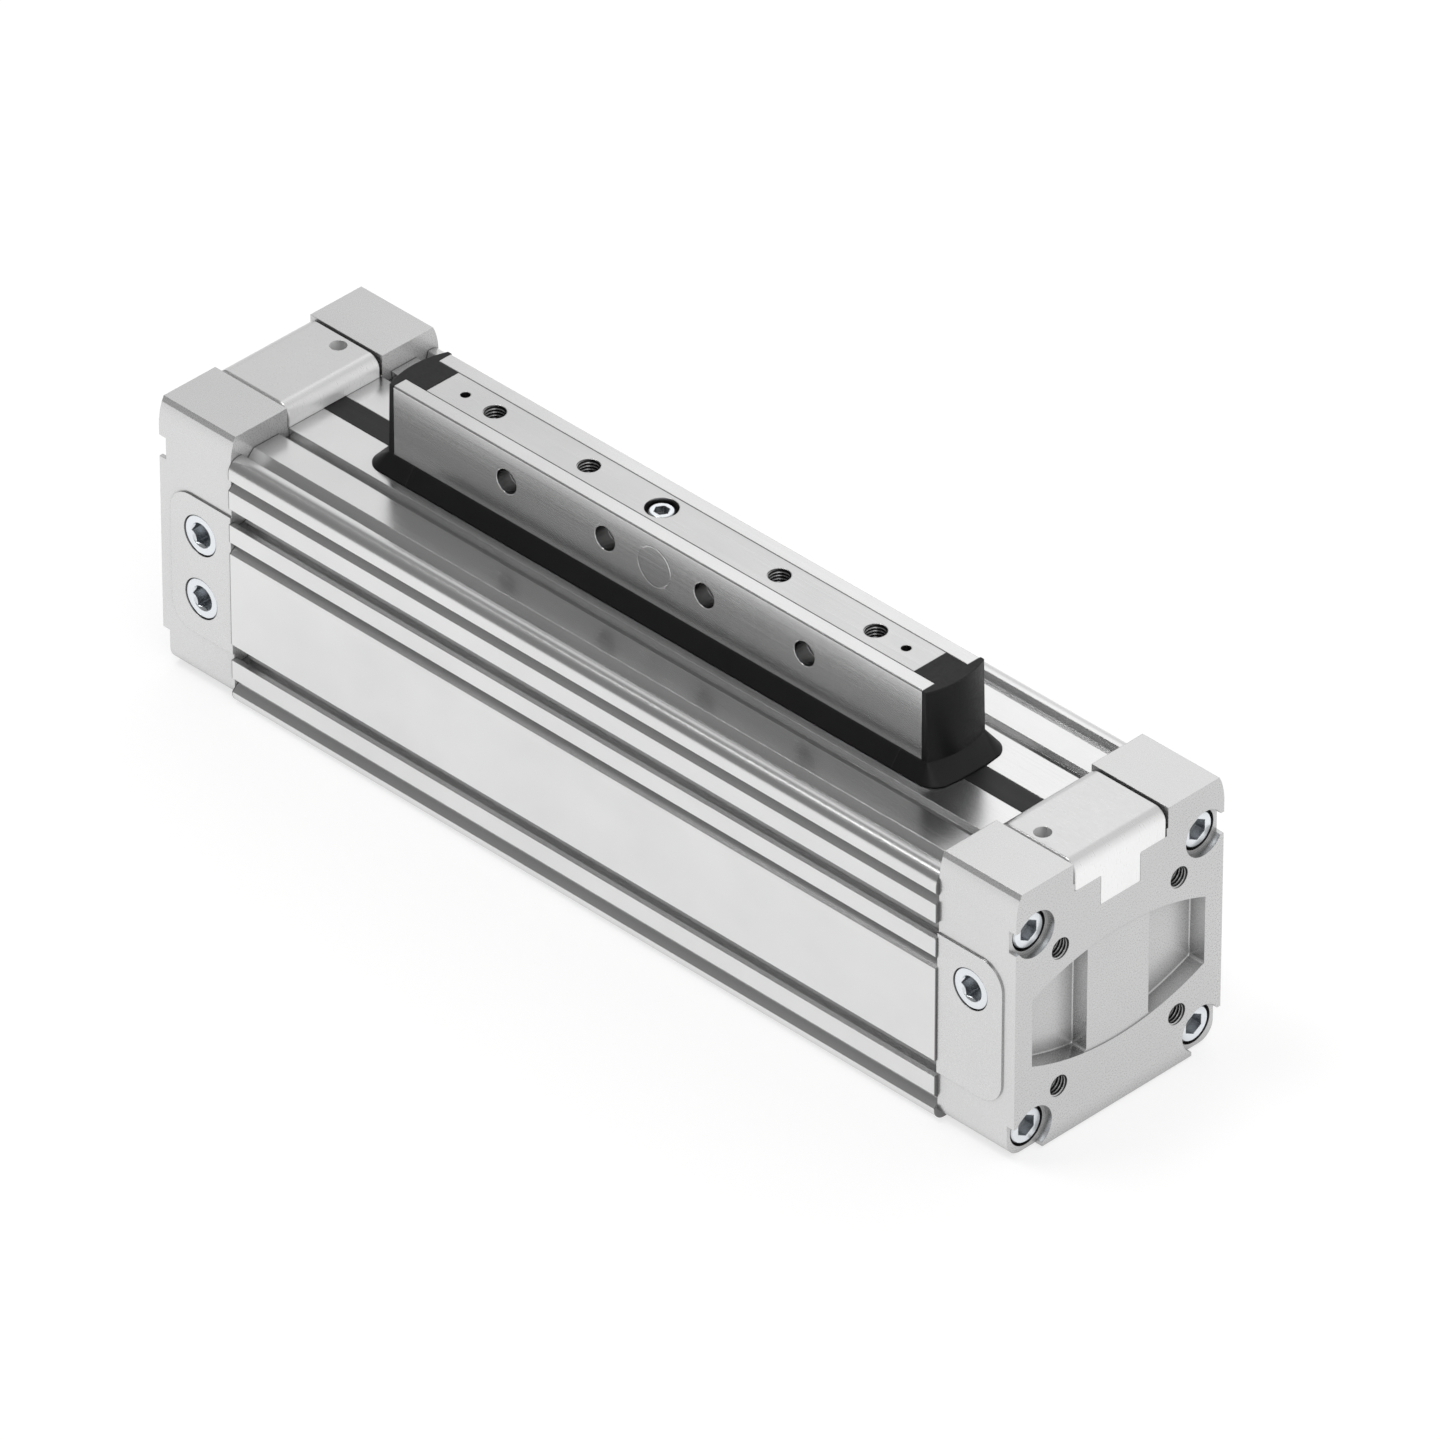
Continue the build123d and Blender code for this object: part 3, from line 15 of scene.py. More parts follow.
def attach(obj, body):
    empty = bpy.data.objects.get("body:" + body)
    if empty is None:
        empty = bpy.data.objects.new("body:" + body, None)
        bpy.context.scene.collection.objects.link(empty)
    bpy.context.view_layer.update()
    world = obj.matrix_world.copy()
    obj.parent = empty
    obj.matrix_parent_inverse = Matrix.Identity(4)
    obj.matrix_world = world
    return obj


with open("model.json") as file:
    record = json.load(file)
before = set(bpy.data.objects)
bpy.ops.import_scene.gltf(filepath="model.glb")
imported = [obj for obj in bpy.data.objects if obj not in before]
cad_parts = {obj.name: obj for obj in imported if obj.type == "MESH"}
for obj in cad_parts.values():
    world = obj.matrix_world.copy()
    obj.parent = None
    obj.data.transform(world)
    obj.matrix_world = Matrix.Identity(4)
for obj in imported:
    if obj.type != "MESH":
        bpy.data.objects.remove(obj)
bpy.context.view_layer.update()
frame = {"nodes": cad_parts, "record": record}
nodes = frame["nodes"]
print("solids loaded:", len(nodes))

# %% [markdown]
# ## The camera
# The picture was taken with a very long lens, almost a parallel view, from the front right
# and about 35 degrees above the horizon. A long lens keeps parallel edges parallel, which
# is why such parts look like a technical drawing. The camera looks along a unit vector
# worked out from its two angles and stands far back along it.

# %% Place the camera
AZIMUTH = math.radians(45.08)
ELEVATION = math.radians(35.54)
DISTANCE = 3.672
LENS = 444.6
SENSOR_WIDTH = 36.0
VIEW_END = 20.0
AIM = Vector((0.0, 0.0, 0.0005))
SIDE_STEP = 0.00743
UP_STEP = 0.02592

right = Vector((math.cos(AZIMUTH), math.sin(AZIMUTH), 0.0))
ahead = Vector((
    -math.sin(AZIMUTH) * math.cos(ELEVATION),
    math.cos(AZIMUTH) * math.cos(ELEVATION),
    -math.sin(ELEVATION),
))
above = right.cross(ahead)
target = AIM + right * SIDE_STEP + above * UP_STEP

camera_data = bpy.data.cameras.new("studio_camera")
camera_data.lens = LENS
camera_data.sensor_width = SENSOR_WIDTH
camera_data.clip_end = VIEW_END
camera = bpy.data.objects.new("studio_camera", camera_data)
camera.matrix_world = Matrix.Translation(target - ahead * DISTANCE) @ Matrix((
    (right.x, above.x, -ahead.x, 0.0),
    (right.y, above.y, -ahead.y, 0.0),
    (right.z, above.z, -ahead.z, 0.0),
    (0.0, 0.0, 0.0, 1.0),
))
bpy.context.scene.collection.objects.link(camera)
bpy.context.scene.camera = camera
print("camera at", [round(c, 3) for c in camera.location])

# %% [markdown]
# ## Small helpers for materials
# A material is a graph of nodes. These helpers keep the cells short: they make a node, link
# or set its inputs by name, do one step of arithmetic, or make an empty shader group with
# named sockets. A group is an effect that several finishes share, each with its own values.

# %% Node helpers


def three(value):
    """The same number for red, green and blue, or for X, Y and Z."""
    return (value, value, value)


def put(tree, node, socket, value):
    """Link or set one input socket, given by its name or its number."""
    if isinstance(value, bpy.types.NodeSocket):
        tree.links.new(value, node.inputs[socket])
    else:
        node.inputs[socket].default_value = value


def fill(tree, node, inputs):
    """Link or set inputs by name, with an underscore for each space."""
    for name, value in inputs.items():
        put(tree, node, name.replace("_", " "), value)
    return node


def add(tree, kind, **inputs):
    """A node of the given kind with its inputs linked or set."""
    return fill(tree, tree.nodes.new(kind), inputs)


def use(tree, effect, **inputs):
    """A shader group placed in a material."""
    node = tree.nodes.new("ShaderNodeGroup")
    node.node_tree = effect
    return fill(tree, node, inputs)


def group(name, ins, outs):
    """An empty shader group with its input and output nodes."""
    tree = bpy.data.node_groups.new(name, "ShaderNodeTree")
    for label, kind, default in ins:
        socket = tree.interface.new_socket(label, in_out="INPUT", socket_type=kind)
        socket.default_value = default
    for label, kind in outs:
        tree.interface.new_socket(label, in_out="OUTPUT", socket_type=kind)
    return tree, tree.nodes.new("NodeGroupInput"), tree.nodes.new("NodeGroupOutput")


def math_node(tree, operation, first, second):
    """One arithmetic step on two values."""
    node = tree.nodes.new("ShaderNodeMath")
    node.operation = operation
    put(tree, node, 0, first)
    put(tree, node, 1, second)
    return node.outputs[0]


def dot(tree, first, second):
    """How far one vector goes along another."""
    node = tree.nodes.new("ShaderNodeVectorMath")
    node.operation = "DOT_PRODUCT"
    put(tree, node, 0, first)
    put(tree, node, 1, second)
    return node.outputs["Value"]


def tinted(tree, base, level):
    """A colour times a level that changes over the surface."""
    node = tree.nodes.new("ShaderNodeVectorMath")
    node.operation = "SCALE"
    put(tree, node, 0, base)
    put(tree, node, "Scale", level)
    return node.outputs["Vector"]


def remap(tree, value, start, stop, low, high):
    """Low where the value is at start, high where it is at stop, and even in between."""
    node = add(
        tree, "ShaderNodeMapRange", Value=value, From_Min=start, From_Max=stop, To_Min=low, To_Max=high
    )
    return node.outputs[0]


print("helpers ready: three, put, fill, add, use, group, math_node, dot, tinted, remap")

# %% [markdown]
# ## Grain
# Every metal here carries the mark of how it was made: an extruded barrel has fine lines
# along its length, a milled bar has cutter lines, a cast cap has a fine even grain. One
# noise texture does all of them. Stretched along one axis it turns into lines, with equal
# scales it is a grain. Object coordinates keep it at its real size on every piece.

# %% Grain group
FLOAT, VECTOR = "NodeSocketFloat", "NodeSocketVector"

grain, grain_in, grain_out = group(
    "grain",
    [("Density", VECTOR, three(1000.0)), ("Low", FLOAT, 0.0), ("High", FLOAT, 1.0)],
    [("Value", FLOAT), ("Raw", FLOAT)],
)
where = add(grain, "ShaderNodeTexCoord")
stretched = add(
    grain, "ShaderNodeMapping", Vector=where.outputs["Object"], Scale=grain_in.outputs["Density"]
)
noise = add(
    grain, "ShaderNodeTexNoise", Vector=stretched.outputs[0], Scale=1.0, Detail=4.0, Roughness=0.6
)
marks = remap(
    grain, noise.outputs["Fac"], start=0.3, stop=0.7,
    low=grain_in.outputs["Low"], high=grain_in.outputs["High"],
)
fill(grain, grain_out, {"Value": marks, "Raw": noise.outputs["Fac"]})
print("group made:", grain.name)

# %% [markdown]
# ## Broken edges
# No machined edge is razor sharp: it has a tiny round that catches the light as a thin
# bright line. The Bevel node gives the normal that such a round would have, without any
# change to the mesh. Where that normal leans away from the flat one, there is an edge, and
# the finishes paint a lighter grey there: a painted highlight on top of the light the
# round catches.

# %% Edge group
EDGE_SAMPLES = 6

edges, edges_in, edges_out = group(
    "broken_edges",
    [("Radius", FLOAT, 0.0003), ("Normal", VECTOR, three(0.0))],
    [("Normal", VECTOR), ("Edge", FLOAT)],
)
rounded = add(
    edges, "ShaderNodeBevel", Radius=edges_in.outputs["Radius"], Normal=edges_in.outputs["Normal"]
)
rounded.samples = EDGE_SAMPLES
flat = add(edges, "ShaderNodeNewGeometry")
agreement = dot(edges, rounded.outputs[0], flat.outputs["Normal"])
# The finishes paint a lighter grey, a painted highlight, where this mask says edge.
edge_mask = remap(edges, agreement, start=0.995, stop=0.8, low=0.0, high=1.0)
fill(edges, edges_out, {"Normal": rounded.outputs[0], "Edge": edge_mask})
print("group made:", edges.name)

# %% [markdown]
# ## Shade in the grooves
# Light has to find its way into a slot, and what comes back has bounced off metal several
# times. A studio room that is white all round hides this, so the Ambient Occlusion node
# measures how closed in a point is within a few millimetres and dims the grey there.

# %% Crevice group
CREVICE_SAMPLES = 8

crevice, crevice_in, crevice_out = group(
    "crevice",
    [("Reach", FLOAT, 0.004), ("Depth", FLOAT, 0.6)],
    [("Value", FLOAT), ("Open", FLOAT)],
)
openness = add(crevice, "ShaderNodeAmbientOcclusion", Distance=crevice_in.outputs["Reach"])
openness.samples = CREVICE_SAMPLES
darkest = math_node(crevice, "SUBTRACT", 1.0, crevice_in.outputs["Depth"])
dimmed = remap(crevice, openness.outputs["AO"], start=0.15, stop=0.95, low=darkest, high=1.0)
fill(crevice, crevice_out, {"Value": dimmed, "Open": openness.outputs["AO"]})
print("group made:", crevice.name)

# %% [markdown]
# ## Painted light on the faces
# A cutter leaves each face of a piece with its own shine: the inserts are matt at their
# milled ends, the caps half matt there. The grey of each face is painted lighter or darker
# by which way it looks, painted light and shade as the lamps would give it: the inserts'
# ends much paler, the caps' ends darker and their sides brighter, the plates' sides
# brighter. The normal says which way a face looks, so the painted grey and the metal shine
# follow it.

# %% Painted face light group
painted_light_and_shine, painted_light_in, painted_light_out = group(
    "painted_face_light_and_shine",
    [("Ends", FLOAT, 1.0), ("Sides", FLOAT, 1.0), ("Shine", FLOAT, 1.0)],
    [("Value", FLOAT), ("Shine", FLOAT)],
)
facing = add(painted_light_and_shine, "ShaderNodeNewGeometry")
directions = add(painted_light_and_shine, "ShaderNodeSeparateXYZ", Vector=facing.outputs["Normal"])
shares = {}
# Painted light: the grey of the ends and of the sides goes up or down by which way they face; the shine of
# the ends is the finish.
for axis, label in (("X", "Ends"), ("Y", "Sides"), ("X", "Shine")):
    along = math_node(painted_light_and_shine, "ABSOLUTE", directions.outputs[axis], 0.0)
    shares[label] = remap(
        painted_light_and_shine, along, start=0.55, stop=0.95, low=1.0, high=painted_light_in.outputs[label]
    )
painted_face_gain = math_node(painted_light_and_shine, "MULTIPLY", shares["Ends"], shares["Sides"])
fill(painted_light_and_shine, painted_light_out, {"Value": painted_face_gain, "Shine": shares["Shine"]})
print("group made:", painted_light_and_shine.name)

# %% [markdown]
# ## Shade in the thread roots
# The root of a thread lies deep in its groove, so its grey is painted almost black there,
# painted shade, while the crest keeps the full grey. The thread surfaces store how high each
# point lies on the ridge, and the grey follows that number.

# %% Crest group
ROOT_SHADE = 0.03

thread_shade, thread_shade_in, thread_shade_out = group("thread_shade", [], [("Value", FLOAT)])
crest = add(thread_shade, "ShaderNodeAttribute")
crest.attribute_name = "crest"
# Painted shade: the roots of the thread are painted almost black.
root_shade = remap(thread_shade, crest.outputs["Fac"], start=0.45, stop=0.9, low=ROOT_SHADE, high=1.0)
fill(thread_shade, thread_shade_out, {"Value": root_shade})
print("group made:", thread_shade.name)

# %% [markdown]
# ## The shadow at the joints
# Where a piece with a broken edge meets the next one, a thin shadow lies in the gap: the
# barrel's sawn ends against the caps, and the slide's core against its two side plates. It
# is painted shade, a darker grey in a thin band beside the joint. Barrel and core are mirror
# images about the middle, so the distance from the middle along one axis says how near the
# joint is. The frame says where each joint lies.

# %% Joint shadow group
ALONG_X = (1.0, 0.0, 0.0)
ALONG_Y = (0.0, 1.0, 0.0)
LINE_FULL = 0.00012
LINE_GONE = 0.00024
SHADOW_GREY = 0.3


def far_corner(name):
    """The largest X, Y and Z that a solid reaches."""
    return np.array(nodes[name].bound_box).max(axis=0).tolist()


painted_joint_shadow, joint_shadow_in, joint_shadow_out = group(
    "painted_joint_shadow", [("Axis", VECTOR, ALONG_X), ("Edge", FLOAT, 0.1)], [("Value", FLOAT)]
)
spot = add(painted_joint_shadow, "ShaderNodeTexCoord")
from_middle = dot(painted_joint_shadow, spot.outputs["Object"], joint_shadow_in.outputs["Axis"])
distance = math_node(painted_joint_shadow, "ABSOLUTE", from_middle, 0.0)
inside = math_node(painted_joint_shadow, "SUBTRACT", joint_shadow_in.outputs["Edge"], distance)
# Painted shade: the grey falls to its darkest in a thin band at the joint.
shadow_fade = remap(painted_joint_shadow, inside, start=LINE_FULL, stop=LINE_GONE, low=SHADOW_GREY, high=1.0)
fill(painted_joint_shadow, joint_shadow_out, {"Value": shadow_fade})
BARREL_END = far_corner("barrel_profile")[0]
CORE_SIDE = far_corner("slide_core")[1]
print("joint lines at", round(BARREL_END, 5), "along X and", round(CORE_SIDE, 5), "along Y")

# %% [markdown]
# ## One recipe for metal
# All metal finishes are the same graph with other values: a grey that a slow cloudy noise
# varies, a painted highlight on the broken edges, painted shade in the grooves, a roughness
# that follows the grain, and a bump from the same grain. What differs is how strong each
# is and which way it runs.

# %% Metal recipe
MICRON = 0.000001
CLOUDS = (45.0, 60.0, 60.0)
RELIEF = 0.6


def new_finish(name):
    """A material with an empty graph."""
    material = bpy.data.materials.new(name)
    material.use_nodes = True
    material.node_tree.nodes.clear()
    return material, material.node_tree


def close_finish(tree, colour, roughness, normal):
    """The shader at the end of a finish, linked to the material's output."""
    shader = add(tree, "ShaderNodeBsdfPrincipled", Base_Color=colour, Roughness=roughness, Normal=normal)
    add(tree, "ShaderNodeOutputMaterial", Surface=shader.outputs[0])
    return shader


def metal(name, base, roughness, lines, bump, metallic=1.0, edge=0.0003, edge_highlight=0.05,
          spread=0.04, cloud=0.03, reach=0.004, depth=0.6, faces=None, crests=False, joint=None, dull=0.0):
    """Metal finish: base grey, roughness, line density per metre along X, Y, Z and bump height.

    spread and cloud say how much roughness and grey vary, edge how wide the broken edges are
    and edge_highlight how much lighter they are painted, a painted highlight, reach and depth
    how far and how much painted shade dims the grooves. faces holds the painted light of the
    ends and of the sides, a gain on their grey by which way they face, and the shine of the
    ends, joint the axis and the place of a painted shadow line at a joint, and dull the shine
    that is lost in closed corners.
    """
    material, tree = new_finish(name)
    marks = use(tree, grain, Density=lines, Low=roughness - spread, High=roughness + spread)
    clouds = use(tree, grain, Density=CLOUDS, Low=1.0 - cloud, High=1.0 + cloud)
    relief = add(tree, "ShaderNodeBump", Strength=RELIEF, Distance=bump, Height=marks.outputs["Raw"])
    soft = use(tree, edges, Radius=edge, Normal=relief.outputs[0])
    shade = use(tree, crevice, Reach=reach, Depth=depth)
    gains = [shade.outputs["Value"]]
    # Painted light and shade on the ends and sides, by which way they face.
    if faces:
        light_and_shine = use(tree, painted_light_and_shine, Ends=faces[0], Sides=faces[1], Shine=faces[2])
        gains.append(light_and_shine.outputs["Value"])
    # Painted shade in the roots of the threads.
    if crests:
        gains.append(use(tree, thread_shade).outputs["Value"])
    # Painted shadow line at a joint.
    if joint:
        gains.append(use(tree, painted_joint_shadow, Axis=joint[0], Edge=joint[1]).outputs["Value"])
    # Painted highlight: the broken edges are painted a lighter grey.
    painted_highlight = math_node(tree, "MULTIPLY", soft.outputs["Edge"], edge_highlight)
    level = math_node(tree, "ADD", clouds.outputs["Value"], painted_highlight)
    for gain in gains:
        level = math_node(tree, "MULTIPLY", level, gain)
    shader = close_finish(tree, tinted(tree, base, level), marks.outputs["Value"], soft.outputs["Normal"])
    shine = metallic
    if dull:
        shine = remap(
            tree, shade.outputs["Open"], start=0.3, stop=0.8, low=metallic - dull, high=metallic
        )
    if faces and faces[2] < 1.0:
        shine = math_node(tree, "MULTIPLY", shine, light_and_shine.outputs["Shine"])
    put(tree, shader, "Metallic", shine)
    return material


print("metal recipe ready")

# %% [markdown]
# ## The metals of this cylinder
# The barrel is drawn through a die and anodised, so its lines run along X and are longest.
# The caps are cast and then milled, with an even grain. The slide is a milled bar between
# two drawn plates. Screws and plugs are bright zinc, the needles turned brass, and the
# pistons turned aluminium.

# %% Metal finishes
barrel_finish = metal(
    "extruded_anodised", three(0.73), 0.24, (8.0, 2600.0, 2600.0), 1.2 * MICRON,
    edge_highlight=0.04, spread=0.03, depth=0.3, joint=(ALONG_X, BARREL_END),
)
# Caps: ends painted darker and sides brighter, painted light and shade; the ends also shine half as much.
cap_finish = metal(
    "cast_and_milled", three(0.63), 0.28, three(3600.0), 0.2 * MICRON, metallic=0.95,
    edge=0.00015, spread=0.02, cloud=0.015, reach=0.005, depth=0.5, faces=(0.885, 1.07, 0.5),
)
# Inserts: ends painted much paler, painted light; they are nearly matt there.
clamp_finish = metal(
    "satin_insert", three(0.66), 0.30, (500.0, 4200.0, 500.0), 0.7 * MICRON, metallic=0.95,
    edge=0.00015, cloud=0.02, depth=0.1, faces=(1.35, 1.0, 0.2), dull=0.9,
)
core_finish = metal(
    "milled_bar", three(0.62), 0.30, (30.0, 3600.0, 3600.0), 1.5 * MICRON,
    joint=(ALONG_Y, CORE_SIDE),
)
# Plates: sides painted brighter, painted light.
plate_finish = metal(
    "drawn_plate", three(0.66), 0.20, (12.0, 3000.0, 3000.0), 1.0 * MICRON,
    edge_highlight=0.0, spread=0.03, faces=(1.0, 1.12, 1.0),
)
# The pin's rim gets a wide, strong painted highlight, a ring of lighter grey.
pin_finish = metal(
    "flush_pin", three(0.66), 0.20, (12.0, 3000.0, 3000.0), 1.0 * MICRON, edge=0.0004, edge_highlight=0.35
)
thread_finish = metal(
    "cut_thread", three(0.66), 0.24, three(3000.0), 2.0 * MICRON, depth=0.35, crests=True
)
turned_finish = metal(
    "turned_aluminium", (0.74, 0.75, 0.76), 0.30, (4000.0, 300.0, 300.0), 6.0 * MICRON
)
zinc_finish = metal(
    "bright_zinc", (0.77, 0.80, 0.83), 0.20, three(1800.0), 3.0 * MICRON, reach=0.003, depth=0.85
)
ground_finish = metal("ground_steel", three(0.60), 0.28, (3000.0, 3000.0, 500.0), 3.0 * MICRON)
strip_finish = metal("spring_strip", three(0.62), 0.25, (10.0, 3000.0, 3000.0), 3.0 * MICRON)
brass_finish = metal("turned_brass", (0.62, 0.47, 0.24), 0.30, (800.0, 800.0, 5000.0), 4.0 * MICRON)
print("metal finishes made, nodes in the barrel's:", len(barrel_finish.node_tree.nodes))

# %% [markdown]
# ## One recipe for rubber and plastic
# The wipers, skirts and seals are black moulded rubber, the cover band and the guides
# plastic. Black parts read mostly by their gloss, so the roughness varies more than the
# colour does, and a fine moulding grain breaks up the highlights. Their broken edges are
# painted a little lighter, a painted sheen.

# %% Rubber and plastic finishes
GLOSS_SPREAD = 0.08
BLACK_CLOUDS = 90.0
BLACK_RELIEF = 0.5
BLACK_EDGE = 0.0004
PAINTED_SHEEN = 0.02
DARKEST_BASE = 0.01
BLACK_SPECULAR = 0.25


def polymer(name, base, roughness, lines, bump):
    """Black polymer: base colour, roughness, grain density per metre and bump height."""
    material, tree = new_finish(name)
    marks = use(tree, grain, Density=lines, Low=roughness - GLOSS_SPREAD, High=roughness + GLOSS_SPREAD)
    clouds = use(tree, grain, Density=three(BLACK_CLOUDS), Low=0.8, High=1.2)
    relief = add(tree, "ShaderNodeBump", Strength=BLACK_RELIEF, Distance=bump, Height=marks.outputs["Raw"])
    soft = use(tree, edges, Radius=BLACK_EDGE, Normal=relief.outputs[0])
    # Painted sheen: the broken edges are painted lighter by the same small amount on every black.
    painted_sheen = PAINTED_SHEEN / max(base[0], DARKEST_BASE)
    painted_highlight = math_node(tree, "MULTIPLY", soft.outputs["Edge"], painted_sheen)
    level = math_node(tree, "ADD", clouds.outputs["Value"], painted_highlight)
    shader = close_finish(tree, tinted(tree, base, level), marks.outputs["Value"], soft.outputs["Normal"])
    put(tree, shader, "Specular IOR Level", BLACK_SPECULAR)
    return material


wiper_finish = polymer("moulded_rubber", (0.006, 0.006, 0.0065), 0.42, three(1500.0), 10.0 * MICRON)
seal_finish = polymer("seal_rubber", three(0.02), 0.5, three(2500.0), 8.0 * MICRON)
band_finish = polymer("cover_strip", (0.012, 0.012, 0.0125), 0.38, (25.0, 2500.0, 2500.0), 5.0 * MICRON)
guide_finish = polymer("guide_plastic", (0.09, 0.09, 0.10), 0.5, three(2500.0), 6.0 * MICRON)
print("black finishes made, nodes in the wipers':", len(wiper_finish.node_tree.nodes))

# %% [markdown]
# ## Hand out the finishes
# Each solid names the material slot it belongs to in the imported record, so one table from
# slot to finish dresses them all.

# %% Dress the solids
FINISHES = {
    "barrel_aluminium": barrel_finish,
    "cap_aluminium": cap_finish,
    "clamp_aluminium": clamp_finish,
    "slide_aluminium": core_finish,
    "plate_aluminium": plate_finish,
    "turned_aluminium": turned_finish,
    "zinc_steel": zinc_finish,
    "pin_steel": pin_finish,
    "needle_brass": brass_finish,
    "magnet_iron": ground_finish,
    "band_plastic": band_finish,
    "band_steel": strip_finish,
    "guide_plastic": guide_finish,
    "wiper_rubber": wiper_finish,
    "seal_rubber": seal_finish,
}
slot_of = {s["node"]: s["material_slot"] for s in frame["record"]["subparts"]}
for name, solid in nodes.items():
    solid.data.materials.clear()
    solid.data.materials.append(FINISHES[slot_of[name]])
print("solids dressed:", len(slot_of))

# %% [markdown]
# ## A mesh from arrays
# The threads are the only new pieces. Each is worked out as whole arrays of points, and
# one helper turns them into a mesh object that rides on a body of the cylinder. Another
# lists the faces of a grid of points whose columns close into a ring.

# %% Mesh helpers


def mesh_piece(name, points, faces, crests, material, body, slot):
    """A mesh object that rides on a body, with the height on the ridge kept as an attribute."""
    mesh = bpy.data.meshes.new(name)
    mesh.from_pydata(points.tolist(), [], faces.tolist())
    mesh.shade_smooth()
    mesh.attributes.new("crest", "FLOAT", "POINT").data.foreach_set("value", crests.astype(np.float32))
    mesh.materials.append(material)
    piece = bpy.data.objects.new(name, mesh)
    bpy.context.scene.collection.objects.link(piece)
    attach(piece, body)
    return piece


def grid_faces(rows, columns):
    """Quads of a grid of points that is closed round its columns."""
    row, column = np.meshgrid(np.arange(rows - 1), np.arange(columns), indexing="ij")
    after = (column + 1) % columns
    here = row * columns
    above = here + columns
    quads = np.stack([here + column, here + after, above + after, above + column], axis=-1)
    return quads.reshape(-1, 4)


print("mesh helpers ready: mesh_piece, grid_faces")

# %% [markdown]
# ## Cut threads
# The solids have plain holes. A cut thread is a V ridge that winds round the hole, and it
# is what makes a threaded hole look threaded. Each liner is one surface: its radius is a
# zigzag of the height plus the angle, so one turn climbs by one pitch. Its outer edge lies
# just inside the hole's wall, so nothing pokes through.

# %% Thread surface
THREAD_GAP = 0.00002
ROWS_PER_TURN = 12
COLUMNS = 40


def thread_liner(mouth, out, radius, pitch, depth):
    """Points of a threaded wall: radius = wall - half a pitch * zigzag(height / pitch - angle / turn)."""
    out = Vector(out)
    across = out.orthogonal().normalized()
    beside = out.cross(across)
    rows = int(depth / pitch * ROWS_PER_TURN) + 1
    height, angle = np.meshgrid(
        np.linspace(0.0, depth, rows), np.linspace(0.0, 2.0 * np.pi, COLUMNS, endpoint=False), indexing="ij"
    )
    phase = height / pitch - angle / (2.0 * np.pi)
    zigzag = 1.0 - np.abs(2.0 * (phase - np.floor(phase)) - 1.0)
    wall = radius - THREAD_GAP - 0.5 * pitch * zigzag
    wall[[0, -1]] = radius - THREAD_GAP
    points = (
        np.array(mouth)
        - height[..., None] * np.array(out)
        + (wall * np.cos(angle))[..., None] * np.array(across)
        + (wall * np.sin(angle))[..., None] * np.array(beside)
    )
    return points.reshape(-1, 3), grid_faces(rows, COLUMNS)[:, ::-1], zigzag.reshape(-1)


def thread_set(name, holes, body, slot):
    """One piece with the liners of several holes."""
    points, faces, crests, used = [], [], [], 0
    for hole in holes:
        hole_points, hole_faces, hole_crests = thread_liner(*hole)
        points.append(hole_points)
        faces.append(hole_faces + used)
        crests.append(hole_crests)
        used += len(hole_points)
    arrays = [np.concatenate(part) for part in (points, faces, crests)]
    return mesh_piece(name, *arrays, thread_finish, body, slot)


print("thread surface ready, set", THREAD_GAP * 1000.0, "mm inside the wall")

# %% [markdown]
# ## Where the threads are
# Four M5 holes in the slide's top take the load, four in each end face take feet or a
# flange, and each cap has an open air port with a G1/8 pipe thread at the back. How far the
# slide's core and the caps reach comes from the frame, and each thread starts a little
# below its mouth, where the hole's edge is broken.

# %% Cut the threads
M5_WALL = 0.0025
M5_PITCH = 0.0008
M5_DEPTH = 0.0085
PORT_WALL = 0.00487
PORT_PITCH = 0.000907
PORT_DEPTH = 0.0072
THREAD_START = 0.0003
SLIDE_HOLES = (-0.05505, -0.02755, 0.02755, 0.05505)
END_SPACING = 0.01715
AXIS_HEIGHT = 0.0305
PORT_X = 0.1121
PORT_HEIGHT = 0.038

thread_top = far_corner("slide_core")[2] - THREAD_START
end_face, port_face = far_corner("right_end_cap")[:2]
thread_end = end_face - THREAD_START
port_start = port_face - THREAD_START

slide_holes = [((x, 0.0, thread_top), (0, 0, 1), M5_WALL, M5_PITCH, M5_DEPTH) for x in SLIDE_HOLES]
made = [thread_set("slide_threads", slide_holes, "carriage", "slide_aluminium")]
for side, way in (("left", -1), ("right", 1)):
    end_holes = [
        ((way * thread_end, y, AXIS_HEIGHT + z), (way, 0, 0), M5_WALL, M5_PITCH, M5_DEPTH)
        for y in (-END_SPACING, END_SPACING)
        for z in (-END_SPACING, END_SPACING)
    ]
    made.append(thread_set(f"{side}_end_threads", end_holes, "barrel", "cap_aluminium"))
    port_hole = [((way * PORT_X, port_start, PORT_HEIGHT), (0, 1, 0), PORT_WALL, PORT_PITCH, PORT_DEPTH)]
    made.append(thread_set(f"{side}_port_thread", port_hole, "barrel", "cap_aluminium"))
print("thread pieces made:", len(made))

# %% [markdown]
# ## The floor
# A pale floor that glows a little by itself, as a lit table does, keeps the shadows faint.
# It belongs to the studio and not to the cylinder, so it rides on nothing.

# %% Floor
FLOOR_HALF = 6.0
FLOOR_GREY = 0.4
FLOOR_ROUGHNESS = 0.9
FLOOR_GLOW = 0.66

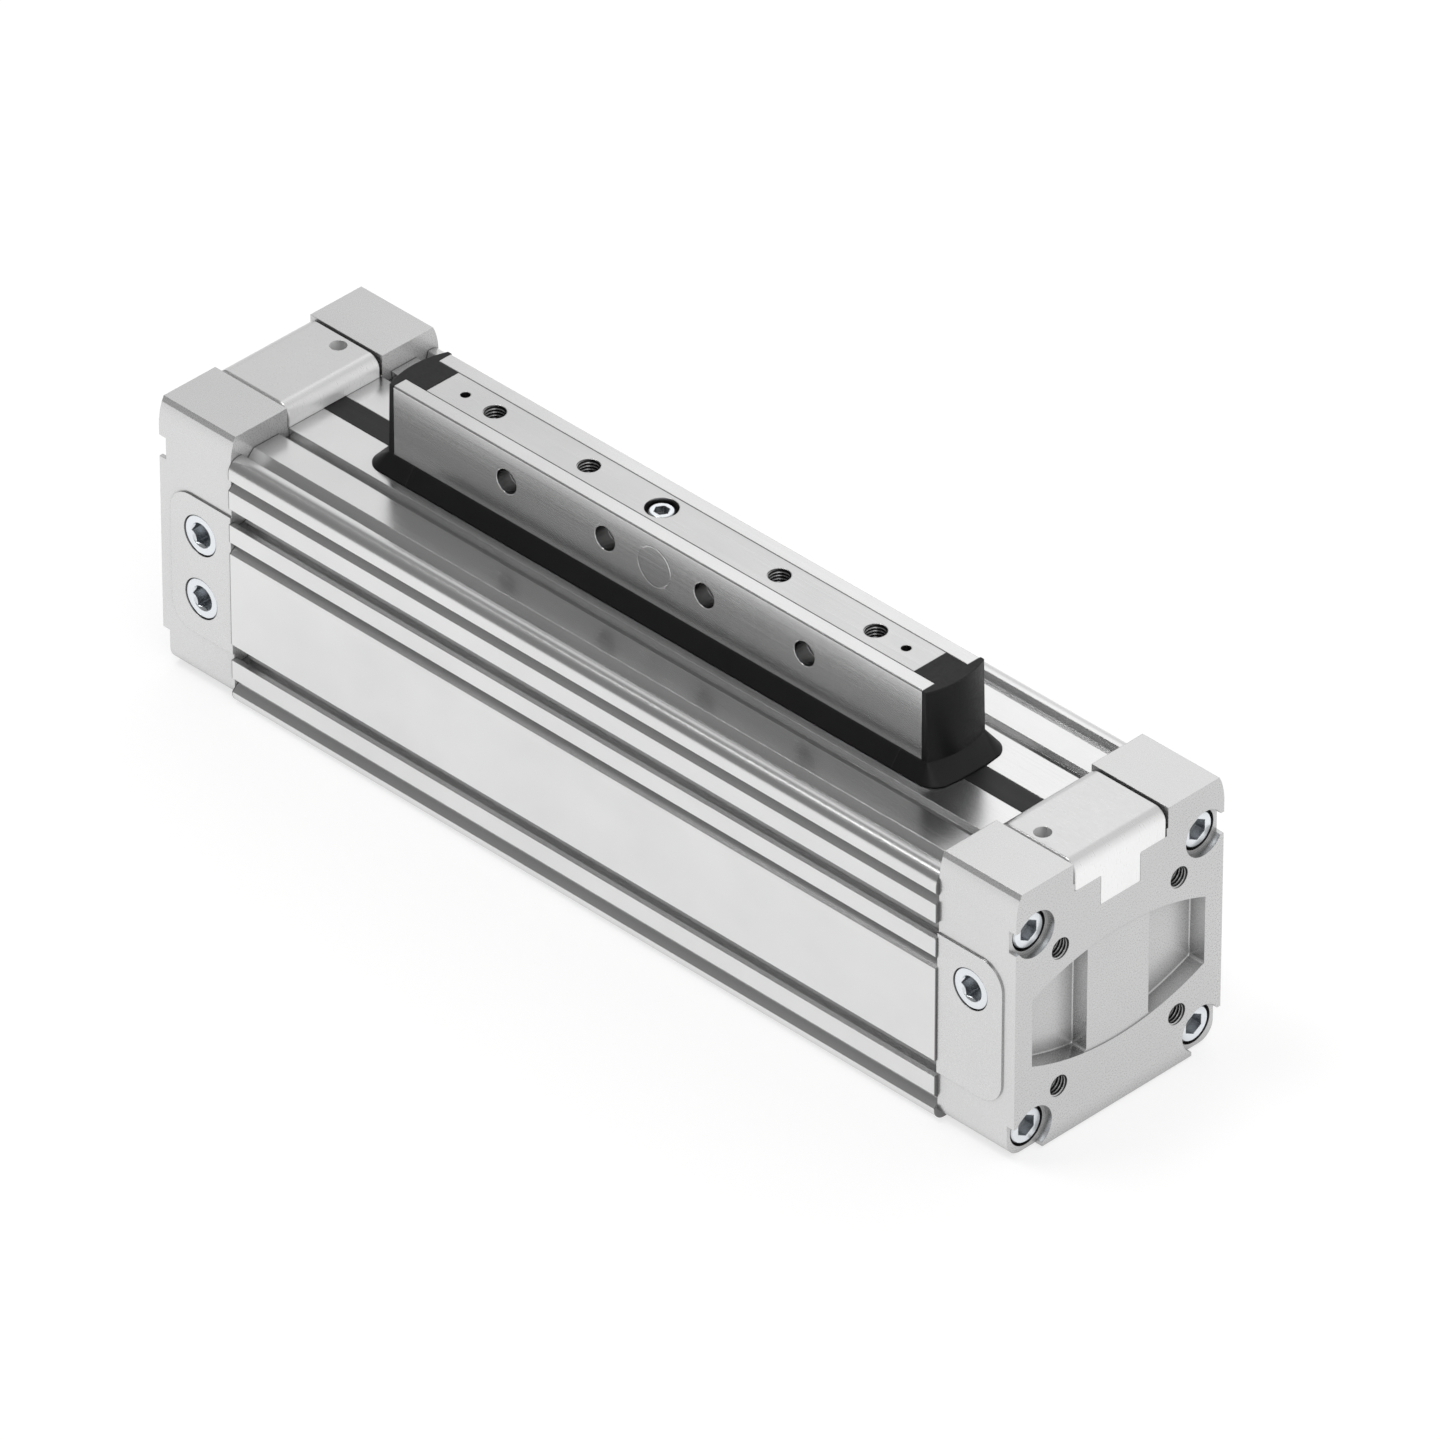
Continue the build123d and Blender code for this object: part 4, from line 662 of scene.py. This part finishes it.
floor_mesh = bpy.data.meshes.new("studio_floor")
floor_corners = [(x * FLOOR_HALF, y * FLOOR_HALF, 0.0) for x, y in ((-1, -1), (1, -1), (1, 1), (-1, 1))]
floor_mesh.from_pydata(floor_corners, [], [(0, 1, 2, 3)])
floor = bpy.data.objects.new("studio_floor", floor_mesh)
bpy.context.scene.collection.objects.link(floor)
pale = bpy.data.materials.new("pale_floor")
pale.use_nodes = True
fill(pale.node_tree, pale.node_tree.nodes["Principled BSDF"], {
    "Base Color": (*three(FLOOR_GREY), 1.0),
    "Roughness": FLOOR_ROUGHNESS,
    "Emission Color": (*three(1.0), 1.0),
    "Emission Strength": FLOOR_GLOW,
})
floor_mesh.materials.append(pale)
print("floor is", 2.0 * FLOOR_HALF, "m wide")

# %% [markdown]
# ## The lamps
# Three soft square lamps point at the object: a key from the front right, a wash over the
# floor from above, and a weak patch behind that brightens the tops towards the right.

# %% Lamps
LIT_HEIGHT = 0.03


def soft_light(name, place, size, power):
    """A square area light that points at the object."""
    data = bpy.data.lights.new(name, "AREA")
    data.size = size
    data.energy = power
    lamp = bpy.data.objects.new(name, data)
    lamp.location = place
    ray = Vector((0.0, 0.0, LIT_HEIGHT)) - Vector(place)
    lamp.rotation_euler = ray.to_track_quat("-Z", "Y").to_euler()
    bpy.context.scene.collection.objects.link(lamp)
    return lamp


lamps = [
    soft_light("key", (1.0, -0.9, 1.5), 0.9, 3.0),
    soft_light("floor_wash", (-0.33, -0.33, 1.28), 0.5, 5.0),
    soft_light("sky_patch", (-0.40, 0.574, 0.647), 0.35, 0.16),
]
print("lamps lit:", [lamp.name for lamp in lamps])

# %% [markdown]
# ## The surround
# Silver metal shows what stands around it, so a bright, even room gives the clean silver of
# the picture. One part of the room, high at the front left, is darker: the rounded edges
# mirror it, and it draws the grey bands that show their form.

# %% Surround
DARK_SIDE = Vector((-0.6, -0.6, 0.53)).normalized()
DARK_STARTS = 0.42
DARK_FULL = 0.64
BRIGHT_SKY = 0.865
DARK_SKY = 0.24

world = bpy.data.worlds.new("studio")
bpy.context.scene.world = world
world.use_nodes = True
sky = world.node_tree
background = sky.nodes["Background"]
direction = add(sky, "ShaderNodeTexCoord")
toward = dot(sky, direction.outputs["Generated"], DARK_SIDE)
strength = remap(sky, toward, start=DARK_STARTS, stop=DARK_FULL, low=BRIGHT_SKY, high=DARK_SKY)
fill(sky, background, {"Color": (*three(1.0), 1.0), "Strength": strength})
bpy.context.scene.view_settings.view_transform = "Standard"
print("studio ready")
